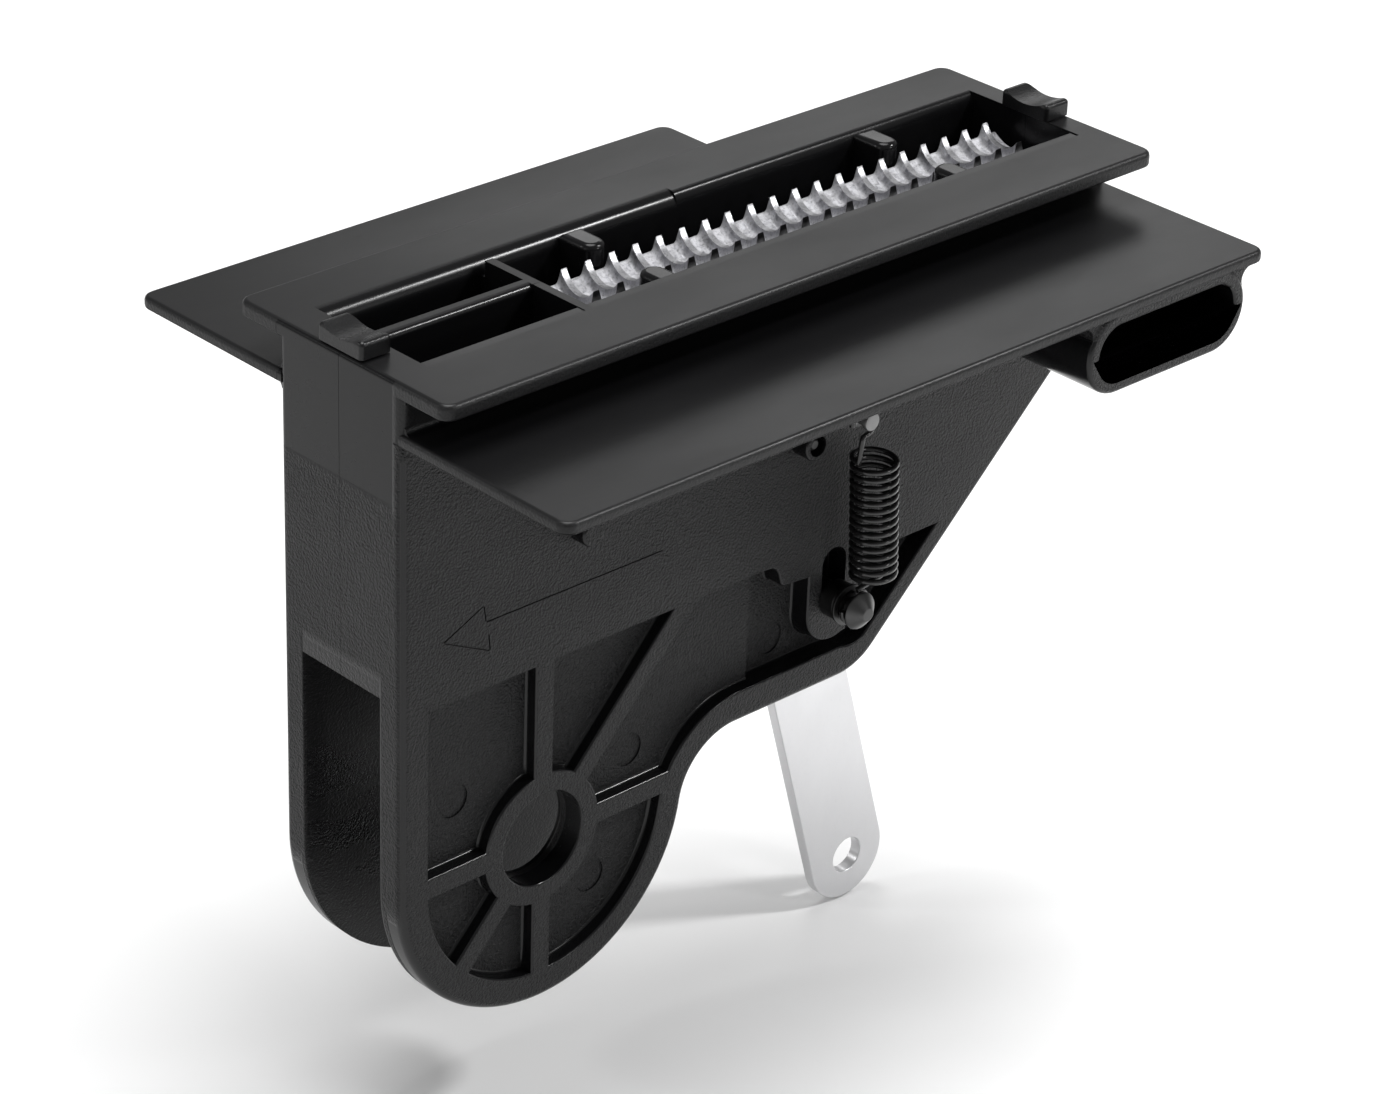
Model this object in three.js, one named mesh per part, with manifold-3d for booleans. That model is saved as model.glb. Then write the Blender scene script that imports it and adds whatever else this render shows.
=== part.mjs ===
// Screw-drive garage door opener carriage: the trolley that hangs in the rail, carries the door arm
// in its clevis and grips the drive screw with a spring-loaded half nut.
// Millimetres. +X along the rail to the motor, -X to the door, +Z up. The origin is the centre of
// the top plate's upper face. Every length that drives the shape is a named constant below.
import * as THREE from 'three';
import { mergeVertices } from 'three/addons/utils/BufferGeometryUtils.js';
import Module from 'manifold-3d';

const wasm = await Module();
wasm.setup();

// ---------------------------------------------------------------- driving dimensions
const LENGTH = 195;
const END = LENGTH / 2;
const PLATE_HALF_WIDTH = 31.3;
const PLATE_THICK = 3.4;
const CORNER_RADIUS = 3;
const WING_TOP = -10.6;
const WING_THICK = 2.7;
const WING_REACH = { spring: 64.5, plain: 63.1 };
const WING_END = { spring: 96, plain: 44 };
const WEB_HALF = 18.5;
const WALL = 3.2;
const BAY_HALF = WEB_HALF - WALL;
const PARTING = 0.15;

// side outline of the body, in X and Z
const LOBE = { x: -59.3, z: -113.9, r: 38.2 };
const SHELF_Z = -106.7;
const FILLET_R = 14.8;
const CHIN_R = 15.2;
const SLOPE_POINT = { x: 32.5, z: -103.96 };
const SLOPE_ANGLE = THREE.MathUtils.degToRad(43.7);

// door arm clevis
const BORE = { x: -60.5, z: -113.2, r: 10.5 };
const HUB_R = 15.2;
const SPOKE_WIDTH = 5;
const SPOKE_TURNS = [0, 0.262, 0.5, 1, 1.262, 1.5];
const SLOT_HALF = 11.2;
const SLOT_TOP = -69.5;
const SLOT_BACK = -17;
const RIM = 7;
const PANEL_TOP = -72.6;
const PANEL_DEPTH = 3;
const PANEL_SPLIT = -1.9;
const DEEP_PANEL = 5;
const DEEP_TOP = -78.4;
const DEEP_STEP = 3.9;
const PIN_BOSS = { x: 20.3, r: 7.6, bottom: -95.9 };

// trough over the half nut
const TROUGH = { x0: -88.7, x1: 91, half: BAY_HALF };
const RIB_X = -48.3;
const RIB_THICK = 2;
const RIB_SIDE = 2.9;
const FLOOR_Z = -24;
const FLOOR_THICK = 3;
const GUIDE_X = [-25.9, 57.2];
const GUIDE_WIDTH = 6;
const GUIDE_NOSE = 6.5;
const GUIDE_TOP = -0.6;
const LIP = { thick: 2.1, top: -0.15 };

// half nut, a half-round internal thread
const PITCH = 6.35;
const TEETH = 20;
const FIRST_TOOTH = -35.5;
const NUT = { x0: -44, x1: 88, half: 5.9, bottom: -15 };
const SCREW_AXIS_Z = 1.5;
const ROOT_R = 9;
const CREST_R = 7.1;
const CREST_WIDTH = 1.5;
const ROOT_WIDTH = 3.8;

// lever, its pin and the cam that lifts the half nut
const PIN = { x: 20, z: -85.5, r: 3 };
const LIFT = 8;
const SWING = THREE.MathUtils.degToRad(45);
const LEVER = { lean: THREE.MathUtils.degToRad(16.5), half: 10.75, offset: 2.3, reach: 88, thick: 3 };
const LEVER_HOLE_R = 4.25;
const CAM_HIGH = 18.3;
const EAR_INNER = 3;
const GAP = 0.35;
const CAM_BAR_Z = PIN.z + CAM_HIGH + GAP;
const CAM_BAR = { x0: 5.6, x1: 13.6, z0: CAM_BAR_Z, z1: CAM_BAR_Z + 5, half: 11 };
const PIN_TIP = -29.2;
const PIN_END = 21.6;
const PIN_GROOVE = 0.8;
const PIN_HEAD = { r: 4.2, flat: 1.5, taper: 2.4 };
const PIN_SHOULDER = { r: 4.2, y0: -22.4, y1: -18.85 };
const PIN_WASHER = { r: 4.6, y0: -23.45, y1: -22.75 };
const CLIP_Y = WEB_HALF + 0.5;
const CLIP_THICK = 0.7;

// spring and its anchor
const ANCHOR = { x: 19.7, z: -41, r: 2, collar: 3.2, tip: -27.6 };
const ANCHOR_BOSS = { r: 4.6, y: -19.7 };
const ANCHOR_GROOVE = 0.5;
const SPRING = {
  xTop: 23.5, xBottom: 25.2, y: -25, top: -51, bottom: -79.9, r: 4.65, wire: 0.62, turns: 15.5,
};
const HOOK_HALF = SPRING.wire + GAP;
const ANCHOR_LOOP = { r: 3.4, drop: 0.95 };
const PIN_LOOP = { r: 3.6, drop: -0.45 };

// fasteners through both shells, X and Z
const SHELL_SCREWS = [[-52, -44.7], [8.7, -44.8], [58, -44.8], [-87, -56], [-7.5, -88], [84, -30]];
const OPEN_SCREW = 1;
const PANEL_SCREW = 4;
const SCREW_R = 1.9;
const SCREW_HEAD_R = 4;

// obround crosswise tube under the long wing
const TUBE = { x0: 42.5, x1: 90.3, z0: -30.2, z1: -11.8, wall: 3.3 };

// screw saddles at both ends, each held by a key in the parting plane
const SADDLE = { depth: 7.4, half: 6.65, top: 3.9, groove: 12, low: 2.6 };
const KEY = { depth: 4, half: 4.3, z0: -7.6, setBack: 1.8 };

const SIDES = { spring: -1, plain: 1 };

// ---------------------------------------------------------------- solids
function toSolid(geometry) {
  const bare = geometry.index ? geometry.toNonIndexed() : geometry.clone();
  bare.deleteAttribute('normal');
  bare.deleteAttribute('uv');
  const merged = mergeVertices(bare, 1e-4);
  return new wasm.Manifold(new wasm.Mesh({
    numProp: 3,
    vertProperties: new Float32Array(merged.attributes.position.array),
    triVerts: new Uint32Array(merged.index.array),
  }));
}

function toGeometry(solid) {
  const mesh = solid.getMesh();
  const geometry = new THREE.BufferGeometry();
  geometry.setAttribute('position', new THREE.BufferAttribute(new Float32Array(mesh.vertProperties), 3));
  geometry.setIndex(new THREE.BufferAttribute(new Uint32Array(mesh.triVerts), 1));
  geometry.computeVertexNormals();
  return geometry;
}

function join(...solids) {
  return solids.reduce((all, next) => all.add(next));
}

function cut(solid, ...tools) {
  return tools.reduce((left, tool) => left.subtract(tool), solid);
}

function box(x0, x1, y0, y1, z0, z1) {
  const geometry = new THREE.BoxGeometry(x1 - x0, y1 - y0, z1 - z0);
  geometry.translate((x0 + x1) / 2, (y0 + y1) / 2, (z0 + z1) / 2);
  return toSolid(geometry);
}

// a shape drawn in X and Z, extruded from y0 to y1
function prismY(shape, y0, y1, curveSegments = 10) {
  const geometry = new THREE.ExtrudeGeometry(shape, { depth: y1 - y0, bevelEnabled: false, curveSegments });
  geometry.rotateX(Math.PI / 2);
  geometry.translate(0, y1, 0);
  return toSolid(geometry);
}

// a shape drawn in X and Y, extruded from z0 to z1
function prismZ(shape, z0, z1, curveSegments = 5) {
  const geometry = new THREE.ExtrudeGeometry(shape, { depth: z1 - z0, bevelEnabled: false, curveSegments });
  geometry.translate(0, 0, z0);
  return toSolid(geometry);
}

function rodY(x, z, r, y0, y1, sides = 16) {
  const geometry = new THREE.CylinderGeometry(r, r, y1 - y0, sides);
  geometry.translate(x, (y0 + y1) / 2, z);
  return toSolid(geometry);
}

// a turned piece about a Y axis: profile of [radius, y] points, starting and ending on the axis
function turnedY(x, z, profile, sides = 16) {
  const points = profile.map(([r, y]) => new THREE.Vector2(r, y));
  const geometry = new THREE.LatheGeometry(points, sides);
  geometry.translate(x, 0, z);
  return toSolid(geometry);
}

function polygon(points) {
  const shape = new THREE.Shape();
  points.forEach(([a, b], i) => (i ? shape.lineTo(a, b) : shape.moveTo(a, b)));
  shape.closePath();
  return shape;
}

function obround(x0, x1, z0, z1) {
  const shape = new THREE.Shape();
  const tall = z1 - z0 > x1 - x0;
  const r = Math.min(x1 - x0, z1 - z0) / 2;
  if (tall) {
    shape.absarc((x0 + x1) / 2, z1 - r, r, 0, Math.PI, false);
    shape.absarc((x0 + x1) / 2, z0 + r, r, Math.PI, 2 * Math.PI, false);
  } else {
    shape.absarc(x1 - r, (z0 + z1) / 2, r, -Math.PI / 2, Math.PI / 2, false);
    shape.absarc(x0 + r, (z0 + z1) / 2, r, Math.PI / 2, 1.5 * Math.PI, false);
  }
  shape.closePath();
  return shape;
}

// a flat flange in plan: inner edge at yIn, outer edge at yOut, with the outer corners rounded
function flange(x0, x1, yIn, yOut, r) {
  const s = Math.sign(yOut - yIn);
  const shape = new THREE.Shape();
  shape.moveTo(x0, yIn);
  shape.lineTo(x1, yIn);
  shape.lineTo(x1, yOut - s * r);
  shape.quadraticCurveTo(x1, yOut, x1 - r, yOut);
  shape.lineTo(x0 + r, yOut);
  shape.quadraticCurveTo(x0, yOut, x0, yOut - s * r);
  shape.closePath();
  return shape;
}

// ---------------------------------------------------------------- body outline
const slopeZ = (x) => SLOPE_POINT.z + (x - SLOPE_POINT.x) * Math.tan(SLOPE_ANGLE);
const filletDrop = LOBE.z - (SHELF_Z - FILLET_R);
const filletX = LOBE.x + Math.sqrt((LOBE.r + FILLET_R) ** 2 - filletDrop ** 2);
const filletTurn = Math.asin(filletDrop / (LOBE.r + FILLET_R));
const shelfMeetsSlope = SLOPE_POINT.x + (SHELF_Z - SLOPE_POINT.z) / Math.tan(SLOPE_ANGLE);
const chinX = shelfMeetsSlope - CHIN_R * Math.tan(SLOPE_ANGLE / 2);

// the side outline, moved inwards by inset and closed at the given top
function bodyOutline(inset, top) {
  const shape = new THREE.Shape();
  const slopeShift = inset / Math.cos(SLOPE_ANGLE);
  shape.moveTo(-END + inset, top);
  shape.lineTo(-END + inset, LOBE.z);
  shape.absarc(LOBE.x, LOBE.z, LOBE.r - inset, Math.PI, 2 * Math.PI - filletTurn, false);
  shape.absarc(filletX, SHELF_Z - FILLET_R, FILLET_R + inset, Math.PI - filletTurn, Math.PI / 2, true);
  shape.absarc(chinX, SHELF_Z + CHIN_R, CHIN_R - inset, 1.5 * Math.PI, 1.5 * Math.PI + SLOPE_ANGLE, false);
  shape.lineTo(END - inset, slopeZ(END - inset) + slopeShift);
  shape.lineTo(END - inset, top);
  shape.closePath();
  return shape;
}

// ---------------------------------------------------------------- the two moulded shells
// mirrors a slab given for the +Y side onto the wanted side
function sideBox(side, x0, x1, yNear, yFar, z0, z1) {
  return side > 0 ? box(x0, x1, yNear, yFar, z0, z1) : box(x0, x1, -yFar, -yNear, z0, z1);
}

function sidePrism(side, shape, yNear, yFar, curveSegments) {
  return side > 0 ? prismY(shape, yNear, yFar, curveSegments) : prismY(shape, -yFar, -yNear, curveSegments);
}

function sideRod(side, x, z, r, yNear, yFar, sides) {
  return side > 0 ? rodY(x, z, r, yNear, yFar, sides) : rodY(x, z, r, -yFar, -yNear, sides);
}

// the sunk panel round the bore, less its rim, hub and spokes
function lobePanel(side) {
  const y0 = WEB_HALF - PANEL_DEPTH;
  const y1 = WEB_HALF + 1;
  const spokeReach = 62;
  let panel = sidePrism(side, bodyOutline(RIM, 0), y0, y1);
  panel = panel.intersect(box(-END, PANEL_SPLIT + 1, -100, 100, -200, PANEL_TOP));
  const hub = sideRod(side, BORE.x, BORE.z, HUB_R, y0 - 1, y1 + 1, 28);
  panel = panel.subtract(hub);
  for (const angle of SPOKE_TURNS) {
    const spoke = new THREE.BoxGeometry(spokeReach, 20, SPOKE_WIDTH);
    spoke.translate(spokeReach / 2, 0, 0);
    spoke.rotateY(-angle * Math.PI);
    spoke.translate(BORE.x, side * (WEB_HALF + 1), BORE.z);
    panel = panel.subtract(toSolid(spoke));
  }
  if (side > 0) {
    const [x, z] = SHELL_SCREWS[PANEL_SCREW];
    panel = panel.subtract(rodY(x, z, SCREW_HEAD_R + 1.4, y0 - 1, y1 + 1, 20));
  }
  return panel;
}

// the deeper panel round the lever pin's slot
function pinPanel(side) {
  const y0 = WEB_HALF - DEEP_PANEL;
  const y1 = WEB_HALF + 1;
  let panel = sidePrism(side, bodyOutline(RIM, 0), y0, y1);
  const doorEnd = box(PANEL_SPLIT, DEEP_STEP, -100, 100, -200, PANEL_TOP);
  const motorEnd = box(DEEP_STEP - 0.5, END, -100, 100, -200, DEEP_TOP);
  panel = panel.intersect(doorEnd.add(motorEnd));
  const boss = obround(PIN_BOSS.x - PIN_BOSS.r, PIN_BOSS.x + PIN_BOSS.r, PIN_BOSS.bottom, DEEP_TOP + 12);
  return panel.subtract(sidePrism(side, boss, y0 - 1, y1 + 1));
}

// hollows open to the parting plane
function hollows(side) {
  const y = -1;
  const lowerBay = 9.5;
  const bayStart = -1.5;
  const upper = sideBox(side, RIB_X + RIB_THICK / 2, TROUGH.x1, y, TROUGH.half, FLOOR_Z, 1);
  const pocketWall = side > 0 ? RIB_SIDE : y;
  const pocket = sideBox(side, TROUGH.x0, RIB_X - RIB_THICK / 2, pocketWall, TROUGH.half, FLOOR_Z, 1);
  const shaftBay = sideBox(side, 2, 40, y, TROUGH.half, PANEL_TOP + 4, FLOOR_Z + 1);
  const inner = bodyOutline(WALL, 0);
  const belowBay = box(bayStart, END, -50, 50, -200, PANEL_TOP + 5);
  const leverBay = sidePrism(side, inner, y, lowerBay).intersect(belowBay);
  const under = FLOOR_Z - FLOOR_THICK;
  const doorVoid = sideBox(side, -END + WALL, -1, y, TROUGH.half, SLOT_TOP + WALL, under);
  const motorEnd = box(43, END, -50, 50, PANEL_TOP + 4.4, under);
  const motorVoid = sidePrism(side, inner, y, TROUGH.half).intersect(motorEnd);
  const armSlot = sidePrism(side, polygon([
    [-END - 1, SLOT_TOP],
    [SLOT_BACK, SLOT_TOP],
    [SLOT_BACK, SHELF_Z + 1],
    [SLOT_BACK - 4, SHELF_Z - 12],
    [SLOT_BACK - 4, LOBE.z - LOBE.r - 2],
    [-END - 1, LOBE.z - LOBE.r - 2],
  ]), y, SLOT_HALF);
  const leverSlot = sideBox(side, 9, 57, y, 3, -120, PANEL_TOP + 3);
  return join(upper, pocket, shaftBay, leverBay, doorVoid, motorVoid, armSlot, leverSlot);
}

// pieces that stand inside the hollows again: screw bosses, half-round guides, cam bar seats
function innerParts(side) {
  const bosses = SHELL_SCREWS.map(([x, z]) => sideRod(side, x, z, 3.8, PARTING, WEB_HALF - 1, 14));
  const guides = GUIDE_X.map((x) => {
    const r = GUIDE_WIDTH / 2;
    const shape = new THREE.Shape();
    shape.moveTo(x - r, side * (TROUGH.half + 0.5));
    shape.lineTo(x - r, side * (GUIDE_NOSE + r));
    shape.quadraticCurveTo(x - r, side * GUIDE_NOSE, x, side * GUIDE_NOSE);
    shape.quadraticCurveTo(x + r, side * GUIDE_NOSE, x + r, side * (GUIDE_NOSE + r));
    shape.lineTo(x + r, side * (TROUGH.half + 0.5));
    shape.closePath();
    return prismZ(shape, FLOOR_Z - 1, GUIDE_TOP);
  });
  return join(...bosses, ...guides);
}

function camBarSeat(side) {
  return sideBox(side, CAM_BAR.x0 - 3, CAM_BAR.x1 + 3, 7.2, BAY_HALF + 0.5, CAM_BAR.z0 - 3, CAM_BAR.z1 + 3);
}

function shell(name) {
  const side = SIDES[name];
  const reach = WING_REACH[name] * side;
  const web = sidePrism(side, bodyOutline(0, -0.5), PARTING, WEB_HALF);
  const plateShape = flange(-END, END, side * PARTING, side * PLATE_HALF_WIDTH, CORNER_RADIUS);
  const plate = prismZ(plateShape, -PLATE_THICK, 0);
  const wing = prismZ(
    flange(-END, WING_END[name], side * (WEB_HALF - 1), reach, CORNER_RADIUS),
    WING_TOP - WING_THICK,
    WING_TOP,
  );
  let body = join(web, plate, wing);
  body = cut(body, hollows(side));
  body = join(body, innerParts(side), camBarSeat(side));
  if (side < 0) {
    body = join(body, springSideExtras());
  }
  const holes = SHELL_SCREWS.map(([x, z], i) => {
    const through = side > 0 || i === OPEN_SCREW;
    const blind = WEB_HALF - (i === PANEL_SCREW ? DEEP_PANEL : 2);
    return sideRod(side, x, z, SCREW_R + GAP, -1, through ? 30 : blind, 14);
  });
  const bar = sideBox(
    side, CAM_BAR.x0 - GAP, CAM_BAR.x1 + GAP, -1, CAM_BAR.half + GAP, CAM_BAR.z0 - GAP, CAM_BAR.z1 + GAP,
  );
  const slotHalf = PIN.r + 0.5;
  const slotEnd = PIN.r + 0.7;
  const pinSlot = sidePrism(
    side, obround(PIN.x - slotHalf, PIN.x + slotHalf, PIN.z - slotEnd, PIN.z + LIFT + slotEnd), 5, 40,
  );
  const bore = sideRod(side, BORE.x, BORE.z, BORE.r, -1, 40, 32);
  const saddleKeys = [-1, 1].map((end) => {
    return sideBox(side, ...keySpan(end, GAP), -1, KEY.half + GAP, KEY.z0 - GAP, 1);
  });
  body = cut(body, lobePanel(side), pinPanel(side), ...holes, bar, pinSlot, bore, ...saddleKeys);
  if (side < 0) {
    body = cut(body, rodY(ANCHOR.x, ANCHOR.z, ANCHOR.r + GAP, -40, -9, 14), tubeBore());
  }
  return body;
}

// the long wing's crosswise tube, the spring anchor's boss and the two screw boss ends outside
function springSideExtras() {
  const tube = prismY(obround(TUBE.x0, TUBE.x1, TUBE.z0, TUBE.z1), -WING_REACH.spring, -WEB_HALF + 1, 7);
  const tubeUnderWing = tube.intersect(box(-200, 200, -200, 200, -200, WING_TOP - 0.5));
  const anchorBoss = rodY(ANCHOR.x, ANCHOR.z, ANCHOR_BOSS.r, ANCHOR_BOSS.y, -10.5, 16);
  const closedBoss = rodY(SHELL_SCREWS[0][0], SHELL_SCREWS[0][1], 2.9, -22.6, -WEB_HALF + 1, 16);
  const openBoss = rodY(SHELL_SCREWS[1][0], SHELL_SCREWS[1][1], 3.3, -23, -WEB_HALF + 1, 16);
  const lipIn = -TROUGH.half + 0.3 + LIP.thick;
  const lip = box(TROUGH.x0 + 0.5, TROUGH.x1 - 0.5, -TROUGH.half - 0.5, lipIn, -PLATE_THICK, LIP.top);
  return join(tubeUnderWing, anchorBoss, closedBoss, openBoss, lip);
}

function tubeBore() {
  const w = TUBE.wall;
  const inner = obround(TUBE.x0 + w, TUBE.x1 - w, TUBE.z0 + w, WING_TOP - WING_THICK - 0.2);
  return prismY(inner, -WING_REACH.spring - 1, -WEB_HALF - 0.5, 7);
}

// ---------------------------------------------------------------- screw saddles at both ends
// X span of a saddle's key at one end, widened by grow
function keySpan(end, grow) {
  const a = end * (END - KEY.setBack);
  const b = end * (END - KEY.setBack - KEY.depth);
  return [Math.min(a, b) - grow, Math.max(a, b) + grow];
}

function saddle(end) {
  const a = end * (END - 0.2);
  const b = end * (END - 0.2 - SADDLE.depth);
  const span = [Math.min(a, b), Math.max(a, b)];
  const block = box(...span, -SADDLE.half, SADDLE.half, GAP, SADDLE.top);
  const groove = new THREE.CylinderGeometry(SADDLE.groove, SADDLE.groove, 40, 48);
  groove.rotateZ(Math.PI / 2);
  groove.translate(a, 0, SADDLE.low + SADDLE.groove);
  const key = box(...keySpan(end, 0), -KEY.half, KEY.half, KEY.z0, GAP + 0.2);
  return block.subtract(toSolid(groove)).add(key);
}

// ---------------------------------------------------------------- half nut
// one thread tooth: a trapezoid swept along the helix across the trough
function tooth(x) {
  const steps = 5;
  const sweep = THREE.MathUtils.degToRad(62);
  const sunk = 0.6;
  const positions = [];
  const index = [];
  for (let i = 0; i <= steps; i += 1) {
    const angle = -Math.PI / 2 + sweep - (2 * sweep * i) / steps;
    const middle = x + (PITCH * (angle + Math.PI / 2)) / (2 * Math.PI);
    const ring = [
      [middle - ROOT_WIDTH / 2, ROOT_R + sunk],
      [middle + ROOT_WIDTH / 2, ROOT_R + sunk],
      [middle + CREST_WIDTH / 2, CREST_R],
      [middle - CREST_WIDTH / 2, CREST_R],
    ];
    for (const [px, r] of ring) {
      positions.push(px, r * Math.cos(angle), SCREW_AXIS_Z + r * Math.sin(angle));
    }
  }
  for (let i = 0; i < steps; i += 1) {
    for (let k = 0; k < 4; k += 1) {
      const a = 4 * i + k;
      const b = 4 * i + ((k + 1) % 4);
      index.push(a, b, b + 4, a, b + 4, a + 4);
    }
  }
  const last = 4 * steps;
  index.push(0, 2, 1, 0, 3, 2, last, last + 1, last + 2, last, last + 2, last + 3);
  const geometry = new THREE.BufferGeometry();
  geometry.setAttribute('position', new THREE.BufferAttribute(new Float32Array(positions), 3));
  geometry.setIndex(index);
  const solid = toSolid(geometry);
  return solid.volume() > 0 ? solid : toSolid(flipped(geometry));
}

function flipped(geometry) {
  const order = Array.from(geometry.index.array);
  for (let i = 0; i < order.length; i += 3) {
    [order[i], order[i + 1]] = [order[i + 1], order[i]];
  }
  geometry.setIndex(order);
  return geometry;
}

function halfNut() {
  const rootTop = SCREW_AXIS_Z - Math.sqrt(ROOT_R ** 2 - NUT.half ** 2);
  let bar = box(NUT.x0, NUT.x1, -NUT.half, NUT.half, NUT.bottom, rootTop + 0.4);
  const groove = new THREE.CylinderGeometry(ROOT_R, ROOT_R, 2 * LENGTH, 36);
  groove.rotateZ(Math.PI / 2);
  groove.translate(0, 0, SCREW_AXIS_Z);
  bar = bar.subtract(toSolid(groove));
  const teeth = [];
  for (let i = 0; i < TEETH; i += 1) {
    teeth.push(tooth(FIRST_TOOTH - PITCH / 4 + i * PITCH));
  }
  const trimmed = join(...teeth).intersect(box(NUT.x0, NUT.x1, -NUT.half, NUT.half, -30, 30));
  const neck = 15;
  const leg = polygon([
    [PIN.x - 12, NUT.bottom + 1],
    [PIN.x + 12, NUT.bottom + 1],
    [PIN.x + 8, NUT.bottom - 14],
    [PIN.x + 7, PIN.z],
    [PIN.x + 4.5, PIN.z - 6],
    [PIN.x - 4.5, PIN.z - 6],
    [neck, PIN.z],
    [neck, NUT.bottom - 14],
  ]);
  const legSolid = prismY(leg, -NUT.half, NUT.half);
  const fork = box(-50, 90, -EAR_INNER, EAR_INNER, PIN.z - 20, PIN.z + 23);
  const pinHole = rodY(PIN.x, PIN.z, PIN.r + GAP, -20, 20, 16);
  return join(bar, trimmed, cut(legSolid, fork, pinHole));
}

// ---------------------------------------------------------------- release lever with its cam
// the cam is an involute, so the half nut rises by an equal amount for each degree of swing
function leverShape() {
  const along = [Math.sin(LEVER.lean), -Math.cos(LEVER.lean)];
  const across = [Math.cos(LEVER.lean), Math.sin(LEVER.lean)];
  const at = (d, n) => [PIN.x + along[0] * d + across[0] * n, PIN.z + along[1] * d + across[1] * n];
  const left = LEVER.offset - LEVER.half;
  const right = LEVER.offset + LEVER.half;
  const shape = new THREE.Shape();
  const [endX, endZ] = at(LEVER.reach, LEVER.offset);
  shape.moveTo(...at(6, right));
  shape.lineTo(...at(-4, right - 1.5));
  shape.lineTo(...at(-7, right - 6));
  const perRadian = LIFT / SWING;
  const steps = 10;
  for (let i = steps; i >= 0; i -= 1) {
    const turn = (SWING * i) / steps;
    const height = CAM_HIGH - perRadian * turn;
    const x = height * Math.sin(turn) - perRadian * Math.cos(turn);
    const z = height * Math.cos(turn) + perRadian * Math.sin(turn);
    shape.lineTo(PIN.x + x, PIN.z + z);
  }
  shape.lineTo(...at(-17, left + 0.5));
  shape.lineTo(...at(-8, left));
  shape.lineTo(...at(LEVER.reach, left));
  shape.absarc(endX, endZ, LEVER.half, Math.PI + LEVER.lean, 2 * Math.PI + LEVER.lean, false);
  shape.closePath();
  const hole = new THREE.Path();
  hole.absarc(endX, endZ, LEVER_HOLE_R, 0, 2 * Math.PI, true);
  const pinHole = new THREE.Path();
  pinHole.absarc(PIN.x, PIN.z, PIN.r + GAP, 0, 2 * Math.PI, true);
  shape.holes.push(hole, pinHole);
  return shape;
}

function releaseLever() {
  return prismY(leverShape(), -LEVER.thick / 2, LEVER.thick / 2, 10);
}

// ---------------------------------------------------------------- pin, washers, clip
function leverPin() {
  const waist = PIN.r - PIN_GROOVE;
  return turnedY(PIN.x, PIN.z, [
    [0, PIN_TIP],
    [PIN_HEAD.flat, PIN_TIP],
    [PIN_HEAD.r, PIN_TIP + PIN_HEAD.taper],
    [PIN_HEAD.r, SPRING.y - HOOK_HALF - 0.3],
    [waist, SPRING.y - HOOK_HALF],
    [waist, SPRING.y + HOOK_HALF],
    [PIN.r, SPRING.y + HOOK_HALF + 0.3],
    [PIN.r, PIN_SHOULDER.y0],
    [PIN_SHOULDER.r, PIN_SHOULDER.y0],
    [PIN_SHOULDER.r, PIN_SHOULDER.y1],
    [PIN.r, PIN_SHOULDER.y1],
    [PIN.r, CLIP_Y - 0.15],
    [waist, CLIP_Y - 0.15],
    [waist, CLIP_Y + CLIP_THICK + 0.15],
    [PIN.r, CLIP_Y + CLIP_THICK + 0.15],
    [PIN.r, PIN_END - 0.6],
    [PIN.r - 0.6, PIN_END],
    [0, PIN_END],
  ]);
}

function washer(x, z, inner, outer, y0, y1) {
  return rodY(x, z, outer, y0, y1, 18).subtract(rodY(x, z, inner, y0 - 1, y1 + 1, 18));
}

// an open retaining ring in the pin's groove
function pinClip() {
  const ring = washer(PIN.x, PIN.z, PIN.r - 0.8 + GAP / 2, 5.4, CLIP_Y, CLIP_Y + CLIP_THICK);
  return ring.subtract(box(PIN.x - 1.7, PIN.x + 1.7, 10, 20, PIN.z - 10, PIN.z));
}

function camBar() {
  return box(CAM_BAR.x0, CAM_BAR.x1, -CAM_BAR.half, CAM_BAR.half, CAM_BAR.z0, CAM_BAR.z1);
}

// ---------------------------------------------------------------- screws
function anchorScrew() {
  const waist = ANCHOR.r - ANCHOR_GROOVE;
  const collarEnd = ANCHOR_BOSS.y - GAP;
  return turnedY(ANCHOR.x, ANCHOR.z, [
    [0, ANCHOR.tip],
    [ANCHOR.r - 0.4, ANCHOR.tip],
    [ANCHOR.r, ANCHOR.tip + 0.4],
    [ANCHOR.r, SPRING.y - HOOK_HALF - 0.3],
    [waist, SPRING.y - HOOK_HALF],
    [waist, SPRING.y + HOOK_HALF],
    [ANCHOR.r, SPRING.y + HOOK_HALF + 0.3],
    [ANCHOR.collar, collarEnd],
    [ANCHOR.r, collarEnd],
    [ANCHOR.r, -9.5],
    [0, -9.5],
  ]);
}

function shellScrew(x, z, tip) {
  const face = WEB_HALF + GAP;
  const head = turnedY(x, z, [
    [0, tip],
    [SCREW_R - 0.6, tip],
    [SCREW_R, tip + 1],
    [SCREW_R, face],
    [SCREW_HEAD_R, face],
    [SCREW_HEAD_R, face + 1.4],
    [SCREW_HEAD_R - 1.2, face + 2.5],
    [0, face + 2.8],
  ]);
  const recess = [0, Math.PI / 2].map((turn) => {
    const bar = new THREE.BoxGeometry(4, 3, 0.9);
    bar.rotateY(turn);
    bar.translate(x, face + 3, z);
    return toSolid(bar);
  });
  return cut(head, ...recess);
}

// ---------------------------------------------------------------- extension spring
// the wire's centre line: a loop round the anchor, the coil, and a loop round the lever pin
class SpringPath extends THREE.Curve {
  getPoint(t) {
    const hook = 0.09;
    if (t < hook) {
      return hookPoint(t / hook, ANCHOR, ANCHOR_LOOP, coilPoint(0), 1);
    }
    if (t > 1 - hook) {
      return hookPoint((1 - t) / hook, PIN, PIN_LOOP, coilPoint(1), -1);
    }
    return coilPoint((t - hook) / (1 - 2 * hook));
  }
}

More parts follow.
